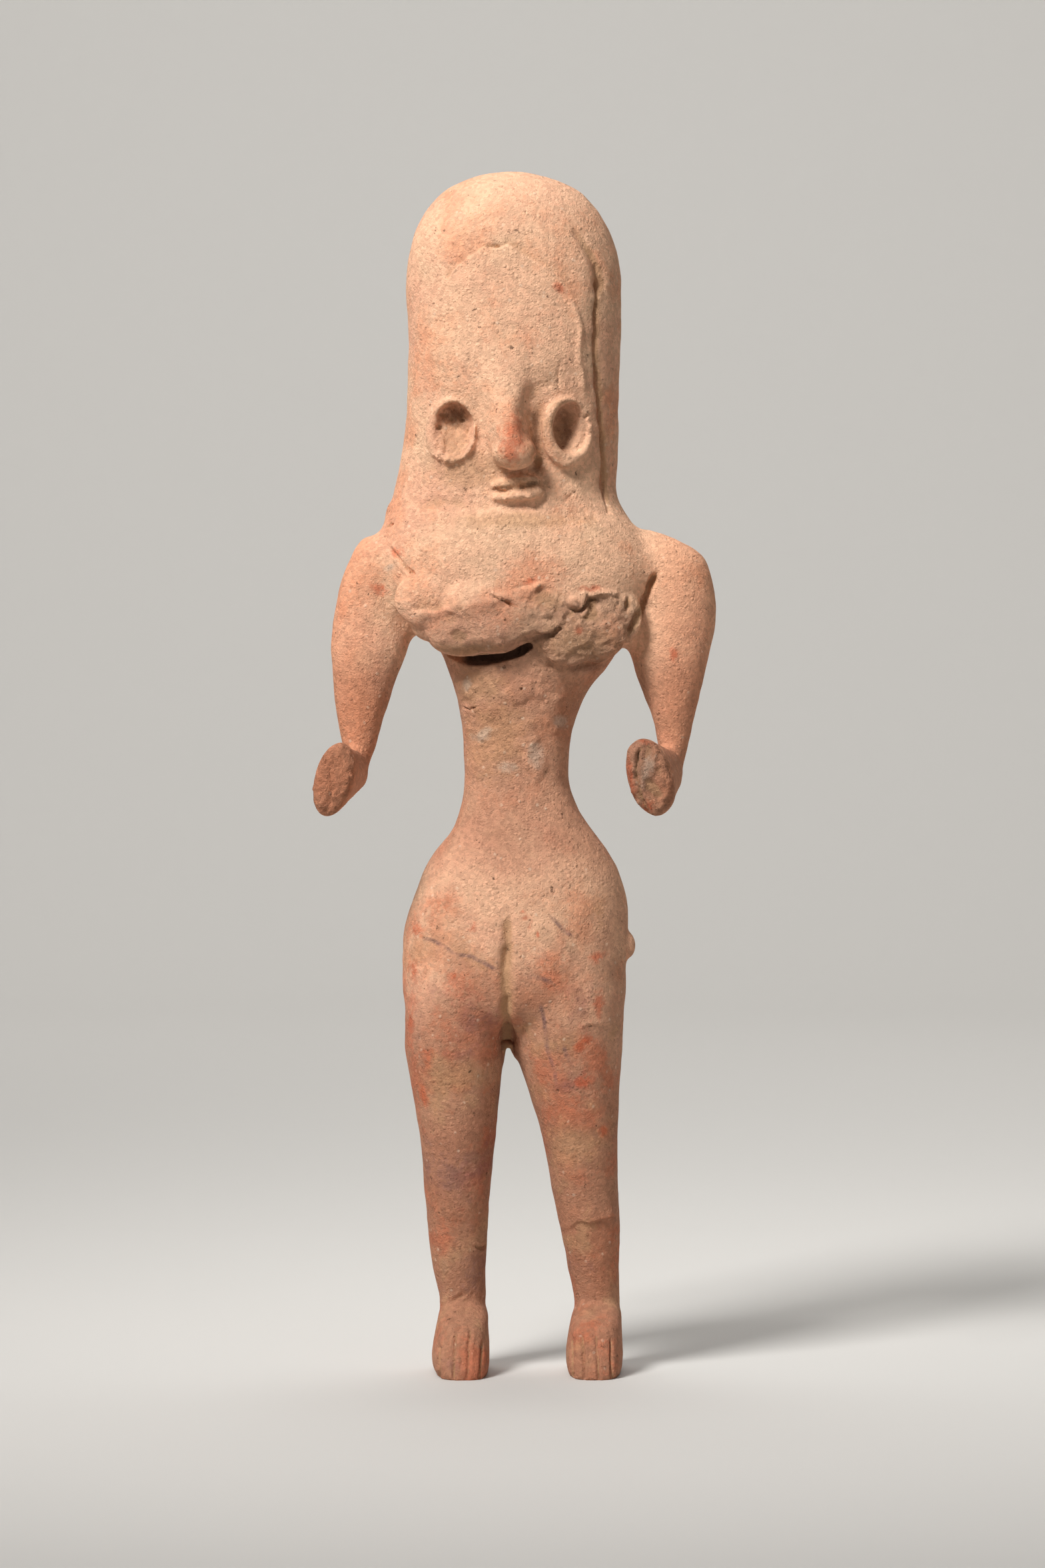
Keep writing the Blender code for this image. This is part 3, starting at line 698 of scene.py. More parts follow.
@dataclass
class Head:
    """What makes the head: the fall of hair, pinched nose, ringed eyes, lips, and the seams around the face.

    Attributes:
        hair: Level sections of the fall of hair down the back.
        hair_roundness: Exponent of those sections.
        nose: The bridge of the nose.
        nose_tip: The lump at its end.
        eyes: Both ringed eyes.
        lips: Lumps of the lips and the cheek beside them.
        lock_end: The curled end of the lock on one shoulder.
        cuts: Lines deep enough to be cut: half width, distance off the skin, route.
        lines: Finer lines.
        spots: Soft places.
        pits: Sharper pits and crumbs.
    """

    hair: Rows = (
        (0.960, -0.0400, 0.0400, 0.0100, 0.0500), (0.930, -0.0640, 0.0660, 0.0000, 0.0640),
        (0.890, -0.0770, 0.0800, 0.0000, 0.0745), (0.840, -0.0830, 0.0860, 0.0000, 0.0780),
        (0.790, -0.0860, 0.0860, 0.0000, 0.0780), (0.740, -0.0920, 0.0850, 0.0000, 0.0765),
        (0.700, -0.0940, 0.0850, 0.0000, 0.0745), (0.675, -0.0860, 0.0800, 0.0100, 0.0710),
        (0.662, -0.0700, 0.0650, 0.0200, 0.0620),
    )
    hair_roundness: float = 3.2
    nose: Beak = Beak((
        (0.7500, 0.0002, 0.0155, 0.0140, 0.0120, 0.6), (0.7560, 0.0002, 0.0182, 0.0180, 0.0215, 0.5),
        (0.7630, 0.0000, 0.0194, 0.0188, 0.0262, 0.4), (0.7710, -0.0010, 0.0195, 0.0172, 0.0262, 0.3),
        (0.7790, -0.0022, 0.0196, 0.0146, 0.0232, 0.2), (0.7890, -0.0028, 0.0200, 0.0146, 0.0192, 0.1),
        (0.8000, -0.0034, 0.0212, 0.0156, 0.0145, 0.0), (0.8120, -0.0038, 0.0245, 0.0190, 0.0095, 0.0),
        (0.8280, -0.0040, 0.0310, 0.0255, 0.0048, 0.0), (0.8500, -0.0040, 0.0400, 0.0330, 0.0012, 0.0),
        (0.8800, -0.0040, 0.0440, 0.0340, -0.0040, 0.0),
    ))
    nose_tip: Rows = ((0.0006, 0.7606, 0.0188, 0.0182, 0.0144, -0.0085),)
    eyes: tuple[EyeForm, ...] = (
        EyeForm(
            (-0.0486, 0.7803, 0.0163, 0.0228), (-0.0520, 0.7786, 0.0208, 0.0268), 0.0020, 0.0026, 0.0150, (0.0, 0.50)),
        EyeForm(
            (0.0476, 0.7818, 0.0150, 0.0214), (0.0438, 0.7782, 0.0208, 0.0282), 0.0020, 0.0034, 0.0165, (-0.68, 0.1)),
    )
    lips: Rows = (
        (-0.0060, 0.7350, 0.0120, 0.0058, 0.0034, 0.0000), (0.0085, 0.7394, 0.0130, 0.0072, 0.0038, 0.0000),
        (-0.0040, 0.7246, 0.0150, 0.0066, 0.0034, 0.0000), (0.0080, 0.7262, 0.0145, 0.0086, 0.0042, 0.0000),
        (0.0170, 0.7304, 0.0085, 0.0072, 0.0038, 0.0000),
    )
    lock_end: tuple = ((-0.0960, -0.0020, 0.7120), (0.0110, 0.0140, 0.0170))
    cuts: tuple = (
        (0.0011, 0.0050, ((-0.0165, 0.7292), (-0.0060, 0.7312), (0.0050, 0.7328), (0.0180, 0.7374))),
        (0.0026, 0.0046, ((0.0060, 0.7342), (0.0130, 0.7360), (0.0185, 0.7384))),
        (0.0018, 0.0020, ((-0.0060, 0.7172), (0.0050, 0.7154), (0.0190, 0.7206))),
        (0.0014, 0.0046, ((-0.0165, 0.7512), (-0.0110, 0.7472), (-0.0040, 0.7446), (0.0050, 0.7440))),
    )
    lines: tuple[Line, ...] = (
        Line(((-0.0587, 0.8963), (-0.0500, 0.9094), (-0.0260, 0.9241), (-0.0113, 0.9301), (0.0182, 0.9148),
              (0.0422, 0.9001), (0.0482, 0.8881)), 0.0020, -0.0017, Profile.STEP, wander=0.0040),
        Line(((0.0470, 0.9480), (0.0539, 0.9400), (0.0632, 0.9245), (0.0700, 0.9119), (0.0700, 0.8950)),
             0.0040, 0.0022, Profile.GROOVE, 0.0004),
        Line(((0.0640, 0.9300), (0.0695, 0.9050), (0.0688, 0.8877), (0.0676, 0.8603), (0.0690, 0.8219),
              (0.0728, 0.7857), (0.0745, 0.7561), (0.0758, 0.7341), (0.0790, 0.7150)), 0.0066, 0.0024),
        Line(((0.0680, 0.9180), (0.0700, 0.9050), (0.0688, 0.8877), (0.0676, 0.8603), (0.0690, 0.8219),
              (0.0728, 0.7857), (0.0745, 0.7561), (0.0758, 0.7341), (0.0790, 0.7150)),
             0.0021, 0.0058, Profile.CREASE, 0.0004, 0.0010),
        Line(((0.0461, 0.8906), (0.0499, 0.8786), (0.0538, 0.8665), (0.0543, 0.8408), (0.0593, 0.8074)),
             0.0024, 0.0018, Profile.RIDGE, wander=0.0010),
        Line(((0.0384, 0.8350), (0.0373, 0.8230), (0.0373, 0.8094)), 0.0009, 0.0014, Profile.CREASE),
        Line(((0.0120, 0.8030), (0.0160, 0.8100), (0.0235, 0.8160), (0.0340, 0.8196)), 0.0060, 0.0012),
        Line(((0.0412, 0.7215), (0.0467, 0.7259), (0.0516, 0.7308)), 0.0010, 0.0020, Profile.CREASE),
        Line(((-0.0172, 0.7306), (-0.0096, 0.7328), (0.0002, 0.7317)), 0.0012, 0.0020, Profile.CREASE),
        Line(((-0.0850, 0.7189), (-0.0671, 0.7206), (-0.0436, 0.7185), (-0.0168, 0.7190)), 0.0070, 0.0016,
             wander=0.0040),
        Line(((0.0300, 0.7130), (0.0480, 0.7100), (0.0700, 0.7110)), 0.0060, 0.0016, wander=0.0040),
        Line(((-0.1052, 0.7032), (-0.0997, 0.7054)), 0.0016, 0.0040, Profile.CREASE),
    )
    spots: tuple[Spot, ...] = (
        Spot(0.0400, 0.7740, 0.0300, 0.0390, -0.0042, 2.3, 12.0), Spot(0.0180, 0.7720, 0.0090, 0.0230, -0.0030),
        Spot(-0.0300, 0.7850, 0.0280, 0.0330, -0.0030), Spot(0.0020, 0.7280, 0.0240, 0.0180, -0.0040),
    )
    pits: tuple[Spot, ...] = (
        Spot(-0.0162, 0.9300, 0.0075, 0.0014, -0.0034, 3.0, -6.0, 0.5),
        Spot(0.0205, 0.7540, 0.0035, 0.0050, -0.0060, 3.0, 0.0, 0.3),
        Spot(-0.0430, 0.7720, 0.0100, 0.0110, 0.0024, 3.0, 0.0, 0.6),
        Spot(0.0600, 0.7920, 0.0030, 0.0012, -0.0022, 3.0, 40.0, 0.3),
        Spot(-0.0570, 0.7930, 0.0024, 0.0016, -0.0034, 3.0, 0.0, 0.4),
        Spot(-0.0510, 0.7905, 0.0020, 0.0018, -0.0030, 3.0, 0.0, 0.4),
        Spot(-0.0420, 0.7890, 0.0024, 0.0014, -0.0034, 3.0, 0.0, 0.4),
        Spot(-0.0380, 0.7800, 0.0016, 0.0030, -0.0030, 3.0, 0.0, 0.4),
        Spot(-0.0600, 0.7830, 0.0020, 0.0020, -0.0030, 3.0, 0.0, 0.4),
        Spot(0.0385, 0.7370, 0.0190, 0.0150, 0.0014, 3.0, 15.0, 0.7),
    )

    def crumbled(self, clay: Clay) -> Array:
        """Crumbled clay: noise on the floor of the left eye and round its ring, and less on the lips.

        Args:
            clay: The skin.

        Returns:
            The move along the outward direction, for each point.
        """
        floor = Spot(*self.eyes[0].hollow, 1.0, 6.0).amount(clay)
        ring = Spot(*self.eyes[0].outside, 1.0, 8.0).amount(clay) - floor
        low = smoothstep(0.775, 0.757, clay.height)
        mouth = Spot(0.0040, 0.7300, 0.0240, 0.0160, 1.0, 4.0).amount(clay)
        fine = rough_noise(clay.points, 0.0045, 77, 3)
        inside = 0.0014 * floor * (clay.normals[:, 1] < 0.4)
        return fine * (inside + clay.facing() * (ring * (0.0007 + 0.0018 * low) + 0.0009 * mouth))

    def shapes(self) -> list[Shape]:
        """What is run together with the trunk: the fall of hair."""
        return [level_loft(self.hair, self.hair_roundness)]

    def additions(self, trunk: Trunk) -> list[Shape]:
        """What is laid on afterwards: nose, eye rings, lips and the lock's end.

        Args:
            trunk: The column they lie on.

        Returns:
            The closed forms.
        """
        return (
            [self.nose.shape(trunk)] + [eye.ring(trunk) for eye in self.eyes]
            + trunk.laid_on(self.nose_tip + self.lips) + [lump(*self.lock_end)]
        )

    def cutters(self, trunk: Trunk) -> list[Shape]:
        """Tools for the eyes' hollows and the deep lines."""
        return [eye.cutter(trunk) for eye in self.eyes] + [trunk.scored(*cut) for cut in self.cuts]


@dataclass
class Chest:
    """The chest, its shoulder seams, and the ragged band where the breasts broke away.

    Attributes:
        stumps: Lumps of the broken band.
        cuts: Lines deep enough to be cut: half width, distance off the skin, route.
        lines: Finer lines.
        spots: Soft places.
        pits: Sharper pits and crumbs.
        band_foot: Across and height of the lower edge of the broken clay.
        band_top: The same of its upper edge.
    """

    stumps: Rows = (
        (-0.0640, 0.6420, 0.0340, 0.0110, 0.0260, 0.0055), (-0.0260, 0.6360, 0.0320, 0.0120, 0.0240, 0.0050),
        (-0.0660, 0.6230, 0.0200, 0.0110, 0.0170, 0.0040), (-0.0420, 0.6140, 0.0300, 0.0180, 0.0200, 0.0030),
        (-0.0150, 0.6140, 0.0260, 0.0170, 0.0180, 0.0030), (0.0060, 0.6240, 0.0220, 0.0130, 0.0160, 0.0030),
        (0.0250, 0.6290, 0.0210, 0.0115, 0.0200, 0.0040), (0.0460, 0.6160, 0.0270, 0.0140, 0.0300, 0.0050),
        (0.0680, 0.6190, 0.0260, 0.0140, 0.0300, 0.0050), (0.0880, 0.6270, 0.0180, 0.0125, 0.0230, 0.0050),
    )
    cuts: tuple = (
        (0.0022, 0.0002, ((-0.1025, 0.6830), (-0.0910, 0.6728), (-0.0800, 0.6607))),
        (0.0042, -0.0034,
         ((-0.0560, 0.6000), (-0.0380, 0.5915), (-0.0145, 0.5930), (0.0040, 0.5985), (0.0150, 0.6050))),
        (0.0044, -0.0090,
         ((-0.0470, 0.5970), (-0.0350, 0.5932), (-0.0145, 0.5942), (0.0030, 0.5990), (0.0110, 0.6030))),
        (0.0040, -0.0150, ((-0.0380, 0.5960), (-0.0145, 0.5962), (0.0050, 0.6010))),
        (0.0030, 0.0050, ((0.0083, 0.6085), (0.0192, 0.6105), (0.0310, 0.6125), (0.0385, 0.6190))),
        (0.0044, 0.0056, ((0.0530, 0.6310), (0.0600, 0.6370), (0.0650, 0.6420), (0.0720, 0.6440))),
        (0.0036, -0.0010, ((0.0270, 0.5880), (0.0470, 0.5830), (0.0700, 0.5920), (0.0900, 0.6010))),
    )
    lines: tuple[Line, ...] = (
        Line(((-0.1029, 0.6860), (-0.0963, 0.6772), (-0.0869, 0.6662), (-0.0803, 0.6612)), 0.0018, 0.0030,
             Profile.CREASE, 0.0008),
        Line(((0.1189, 0.6653), (0.1145, 0.6587), (0.1101, 0.6466), (0.1057, 0.6357), (0.0952, 0.6131)),
             0.0040, 0.0080, Profile.CREASE),
        Line(((-0.0188, 0.6465), (-0.0096, 0.6438), (0.0002, 0.6384), (0.0067, 0.6362), (0.0111, 0.6433),
              (0.0165, 0.6498), (0.0247, 0.6525), (0.0328, 0.6482), (0.0372, 0.6395)),
             0.0030, 0.0018, Profile.RIDGE, wander=0.0030),
        Line(((0.0372, 0.6395), (0.0437, 0.6378), (0.0518, 0.6389), (0.0600, 0.6449), (0.0671, 0.6493),
              (0.0790, 0.6460), (0.0900, 0.6430)), 0.0030, 0.0026, Profile.RIDGE, wander=0.0040),
        Line(((0.0440, 0.6340), (0.0520, 0.6345), (0.0600, 0.6380), (0.0670, 0.6430)), 0.0024, 0.0050,
             Profile.CREASE, wander=0.0024),
        Line(((-0.0188, 0.6440), (-0.0096, 0.6405), (0.0002, 0.6355), (0.0067, 0.6340)), 0.0016, 0.0040,
             Profile.CREASE, wander=0.0012),
        Line(((-0.0857, 0.6330), (-0.0700, 0.6290), (-0.0560, 0.6330), (-0.0440, 0.6300), (-0.0330, 0.6360)),
             0.0030, -0.0018, Profile.STEP, wander=0.0040),
        Line(((0.0083, 0.6130), (0.0192, 0.6150), (0.0328, 0.6175), (0.0390, 0.6250), (0.0400, 0.6330)),
             0.0034, 0.0024, Profile.RIDGE, wander=0.0030),
        Line(((0.0480, 0.6180), (0.0600, 0.6240), (0.0700, 0.6200), (0.0800, 0.6260)), 0.0024, -0.0014,
             Profile.STEP, wander=0.0050),
        Line(((0.0460, 0.6020), (0.0580, 0.6080), (0.0700, 0.6040), (0.0800, 0.6100)), 0.0024, -0.0012,
             Profile.STEP, wander=0.0050),
    )
    spots: tuple[Spot, ...] = (
        Spot(-0.0180, 0.5880, 0.0460, 0.0110, -0.0020), Spot(0.0560, 0.5740, 0.0260, 0.0120, -0.0045),
    )
    pits: tuple[Spot, ...] = (
        Spot(0.0240, 0.6400, 0.0110, 0.0080, -0.0016, 4.0, 0.0, 0.5),
        Spot(0.0640, 0.6360, 0.0050, 0.0075, -0.0070, 3.0, -20.0, 0.7),
        Spot(0.0470, 0.6290, 0.0080, 0.0034, -0.0026, 3.0, 20.0, 0.8),
        Spot(0.0780, 0.6380, 0.0080, 0.0060, 0.0024, 3.0, -20.0, 0.8),
        Spot(-0.0440, 0.6110, 0.0050, 0.0040, -0.0022, 3.0, 0.0, 0.8),
        Spot(0.0940, 0.6380, 0.0026, 0.0050, -0.0050, 3.0, 0.0, 0.5),
        Spot(-0.0520, 0.6260, 0.0120, 0.0050, -0.0016, 2.0, 10.0, 0.8),
        Spot(-0.0250, 0.6230, 0.0100, 0.0050, 0.0016, 2.0, 10.0, 0.8),
        Spot(-0.0900, 0.6390, 0.0070, 0.0040, 0.0016, 3.0, -15.0, 0.8),
    )
    band_foot: Route = ((-0.08, 0.612), (-0.05, 0.597), (0.0, 0.597), (0.03, 0.588), (0.06, 0.582), (0.09, 0.600))
    band_top: Route = (
        (-0.08, 0.628), (-0.05, 0.634), (-0.01, 0.642), (0.02, 0.652), (0.04, 0.640), (0.07, 0.648), (0.10, 0.642),
    )

    def cutters(self, trunk: Trunk) -> list[Shape]:
        """Tools for the deep lines."""
        return [trunk.scored(*cut) for cut in self.cuts]

    def ragged(self, clay: Clay) -> Array:
        """From 0 to 1, how broken the clay is: a soft band across the chest that follows the stumps.

        Args:
            clay: The skin.

        Returns:
            The amount at each point.
        """
        x, z = clay.across, clay.height
        lower, upper = (np.interp(x, *np.array(edge).T) for edge in (self.band_foot, self.band_top))
        inside = smoothstep(-0.006, 0.004, z - lower) * smoothstep(0.004, -0.004, z - upper)
        ends = smoothstep(-0.088, -0.070, x) * smoothstep(0.103, 0.095, x)
        return inside * ends * clay.facing() * clay.ahead_of(-0.035)

    def roughened(self, clay: Clay) -> Array:
        """Torn clay: coarse and fine noise in the ragged band, pressed flat like flakes.

        Args:
            clay: The skin.

        Returns:
            The move along the outward direction, for each point.
        """
        flaky = clay.points * (1.0, 1.0, 1.5)
        coarse = rough_noise(flaky, 0.0200, 11, 2)
        fine = rough_noise(flaky, 0.0060, 23, 3)
        right = 0.45 + 0.55 * smoothstep(0.005, 0.035, clay.across)
        return self.ragged(clay) * right * (0.0014 * coarse + 0.0012 * fine)

    def cavity(self, clay: Clay, trunk: Trunk) -> Array:
        """From 0 to 1, where shade is painted: how deep a point lies in the gap under the band, behind the column's
        front.

        Args:
            clay: The skin.
            trunk: The column.

        Returns:
            The amount at each point.
        """
        x, z = clay.across, clay.height
        near = (x > -0.046) & (x < 0.020) & (z > 0.584) & (z < 0.612) & (clay.points[:, 1] < 0.0)
        behind = clay.points[:, 1] - trunk.front(x, z)
        return near * smoothstep(-0.046, -0.036, x) * smoothstep(0.001, 0.006, behind)


@dataclass
class Limbs:
    """Arms with broken leaf-shaped ends, and legs with scored feet.

    Attributes:
        arms: Level sections of each upper arm.
        forearms: For each, rows of distance forwards, middle across, height, half width and half height.
        lean: How far the points of each leaf lean.
        legs: Level sections of each leg.
        feet: Level sections of each foot.
        toe_lines: Lines scored down the steep front of each foot.
        knob: The knob of clay on the hip.
        gap: Level sections of the tool for the narrow top of the gap between the thighs.
        roundness: Exponent of the limbs' sections.
        foot_roundness: Exponent of the feet's sections.
        gap_roundness: Exponent of the tool's sections.
        leaf_at: How far forwards a forearm is fully a leaf.
    """

    arms: tuple[Rows, Rows] = (
        (
            (0.697, -0.1240, -0.1020, -0.0080, 0.0180), (0.687, -0.1315, -0.1000, -0.0220, 0.0260),
            (0.671, -0.1390, -0.1000, -0.0280, 0.0290), (0.654, -0.1445, -0.0990, -0.0305, 0.0300),
            (0.637, -0.1483, -0.0950, -0.0310, 0.0290), (0.604, -0.1522, -0.0850, -0.0300, 0.0250),
            (0.587, -0.1511, -0.0922, -0.0285, 0.0215), (0.554, -0.1479, -0.1038, -0.0250, 0.0150),
            (0.521, -0.1425, -0.1133, -0.0220, 0.0085), (0.504, -0.1395, -0.1190, -0.0215, 0.0050),
            (0.488, -0.1345, -0.1260, -0.0170, -0.0030),
        ),
        (
            (0.702, 0.0960, 0.1180, -0.0080, 0.0180), (0.692, 0.0970, 0.1390, -0.0200, 0.0240),
            (0.679, 0.0980, 0.1580, -0.0270, 0.0280), (0.654, 0.1020, 0.1668, -0.0305, 0.0300),
            (0.638, 0.1030, 0.1690, -0.0310, 0.0290), (0.604, 0.0960, 0.1650, -0.0300, 0.0250),
            (0.587, 0.1000, 0.1611, -0.0285, 0.0215), (0.554, 0.1117, 0.1528, -0.0250, 0.0150),
            (0.521, 0.1194, 0.1456, -0.0220, 0.0085), (0.504, 0.1222, 0.1415, -0.0215, 0.0050),
            (0.488, 0.1260, 0.1345, -0.0170, -0.0030),
        ),
    )
    forearms: tuple[Rows, Rows] = (
        (
            (-0.004, -0.1290, 0.5030, 0.0085, 0.0140), (0.018, -0.1300, 0.5000, 0.0105, 0.0175),
            (0.040, -0.1345, 0.4975, 0.0120, 0.0210), (0.062, -0.1415, 0.4945, 0.0155, 0.0270),
            (0.078, -0.1460, 0.4928, 0.0172, 0.0312), (0.083, -0.1460, 0.4928, 0.0148, 0.0294),
            (0.085, -0.1460, 0.4928, 0.0090, 0.0205),
        ),
        (
            (-0.004, 0.1315, 0.5030, 0.0085, 0.0140), (0.018, 0.1300, 0.5005, 0.0105, 0.0175),
            (0.040, 0.1245, 0.4985, 0.0120, 0.0210), (0.062, 0.1165, 0.4968, 0.0155, 0.0270),
            (0.078, 0.1110, 0.4954, 0.0180, 0.0312), (0.083, 0.1110, 0.4954, 0.0156, 0.0292),
            (0.085, 0.1110, 0.4954, 0.0098, 0.0205),
        ),
    )
    lean: tuple[float, float] = (0.19, -0.19)
    legs: tuple[Rows, Rows] = (
        (
            (0.350, -0.0860, -0.0060, -0.0500, 0.0540), (0.304, -0.0912, -0.0040, -0.0535, 0.0550),
            (0.271, -0.0902, -0.0075, -0.0500, 0.0515), (0.254, -0.0878, -0.0085, -0.0470, 0.0490),
            (0.221, -0.0822, -0.0117, -0.0415, 0.0450), (0.187, -0.0767, -0.0161, -0.0355, 0.0415),
            (0.154, -0.0744, -0.0194, -0.0290, 0.0390), (0.121, -0.0706, -0.0222, -0.0215, 0.0360),
            (0.087, -0.0668, -0.0228, -0.0145, 0.0335), (0.054, -0.0614, -0.0228, -0.0100, 0.0330),
            (0.030, -0.0625, -0.0222, -0.0100, 0.0340), (-0.012, -0.0620, -0.0225, -0.0090, 0.0340),
        ),
        (
            (0.350, 0.0060, 0.0880, -0.0500, 0.0540), (0.304, 0.0010, 0.0930, -0.0535, 0.0550),
            (0.271, -0.0004, 0.0906, -0.0500, 0.0515), (0.254, 0.0052, 0.0894, -0.0470, 0.0490),
            (0.221, 0.0156, 0.0878, -0.0415, 0.0450), (0.187, 0.0256, 0.0872, -0.0355, 0.0415),
            (0.154, 0.0317, 0.0876, -0.0290, 0.0390), (0.121, 0.0383, 0.0898, -0.0215, 0.0360),
            (0.087, 0.0450, 0.0884, -0.0145, 0.0335), (0.054, 0.0511, 0.0878, -0.0100, 0.0330),
            (0.030, 0.0492, 0.0886, -0.0100, 0.0340), (-0.012, 0.0500, 0.0880, -0.0090, 0.0340),
        ),
    )
    feet: tuple[Rows, Rows] = (
        (
            (0.060, -0.0560, -0.0280, -0.0080, 0.0280), (0.050, -0.0610, -0.0215, -0.0220, 0.0320),
            (0.040, -0.0630, -0.0205, -0.0410, 0.0375), (0.030, -0.0648, -0.0197, -0.0480, 0.0405),
            (0.017, -0.0668, -0.0190, -0.0540, 0.0425), (0.006, -0.0655, -0.0196, -0.0580, 0.0425),
            (-0.004, -0.0600, -0.0225, -0.0560, 0.0400), (-0.012, -0.0540, -0.0260, -0.0500, 0.0320),
        ),
        (
            (0.060, 0.0550, 0.0830, -0.0080, 0.0280), (0.050, 0.0505, 0.0880, -0.0220, 0.0320),
            (0.040, 0.0475, 0.0888, -0.0410, 0.0375), (0.030, 0.0455, 0.0896, -0.0480, 0.0405),
            (0.017, 0.0433, 0.0903, -0.0540, 0.0425), (0.006, 0.0438, 0.0900, -0.0580, 0.0425),
            (-0.004, 0.0475, 0.0865, -0.0560, 0.0400), (-0.012, 0.0520, 0.0830, -0.0500, 0.0320),
        ),
    )
    toe_lines: tuple[Line, ...] = tuple(
        Line(route, 0.0017, 0.0034, Profile.CREASE, 0.0004, 0.0005)
        for route in (
            ((-0.0605, 0.0270), (-0.0605, -0.0010)), ((-0.0469, 0.0386), (-0.0485, -0.0010)),
            ((-0.0349, 0.0414), (-0.0376, -0.0010)), ((-0.0250, 0.0291), (-0.0283, -0.0010)),
            ((0.0488, 0.0314), (0.0488, -0.0010)), ((0.0570, 0.0366), (0.0581, -0.0010)),
            ((0.0680, 0.0360), (0.0701, -0.0010)), ((0.0805, 0.0325), (0.0810, -0.0010)),
        )
    )
    knob: tuple = ((0.0955, -0.0080, 0.3554), (0.0060, 0.0070, 0.0115))
    gap: Rows = (
        (0.2720, -0.0053, -0.0040, -0.0900, 0.0900), (0.2640, -0.0064, -0.0012, -0.0900, 0.0900),
        (0.2538, -0.0078, 0.0040, -0.0900, 0.0900), (0.2400, -0.0092, 0.0082, -0.0900, 0.0900),
        (0.2280, -0.0096, 0.0090, -0.0900, 0.0900),
    )
    roundness: float = 2.2
    foot_roundness: float = 3.0
    gap_roundness: float = 4.0
    leaf_at: float = 0.078

    def cutters(self) -> list[Shape]:
        """The tool that carries the gap between the thighs up to a point."""
        return [level_loft(self.gap, self.gap_roundness)]

    def shapes(self) -> list[Shape]:
        """What is run together with the trunk: arms, legs and forearms."""
        return [level_loft(rows, self.roundness) for rows in self.arms + self.legs] + self.broken_forearms()

    def broken_forearms(self) -> list[Shape]:
        """Forearms from upright sections that turn from a flattened oval into a leaf with leaning points.

        The blend from oval to leaf grows evenly up to leaf_at; it lowers both exponents, and moves each point
        across by the lean times its own height in the section.

        Returns:
            The closed forms.
        """
        made = []
        turn = full_turn(AROUND)[None, :]
        for rows, lean in zip(self.forearms, self.lean):
            forward, middle, height, wide, tall = smooth_rows(rows, SECTION_STEPS).T[:, :, None]
            blend = np.clip(forward / self.leaf_at, 0.0, 1.0)
            u, v = superellipse(turn, self.roundness - 0.40 * blend, self.roundness - 0.05 * blend)
            x = middle + wide * u + lean * blend * tall * v
            made.append(closed_rings(np.stack([x, -forward + 0 * x, height + tall * v], axis=-1)))
        return made

    def additions(self) -> list[Shape]:
        """What is laid on afterwards: feet, the forearms again, crisp, and the knob."""
        feet = [level_loft(rows, self.foot_roundness) for rows in self.feet]
        return feet + self.broken_forearms() + [lump(*self.knob)]


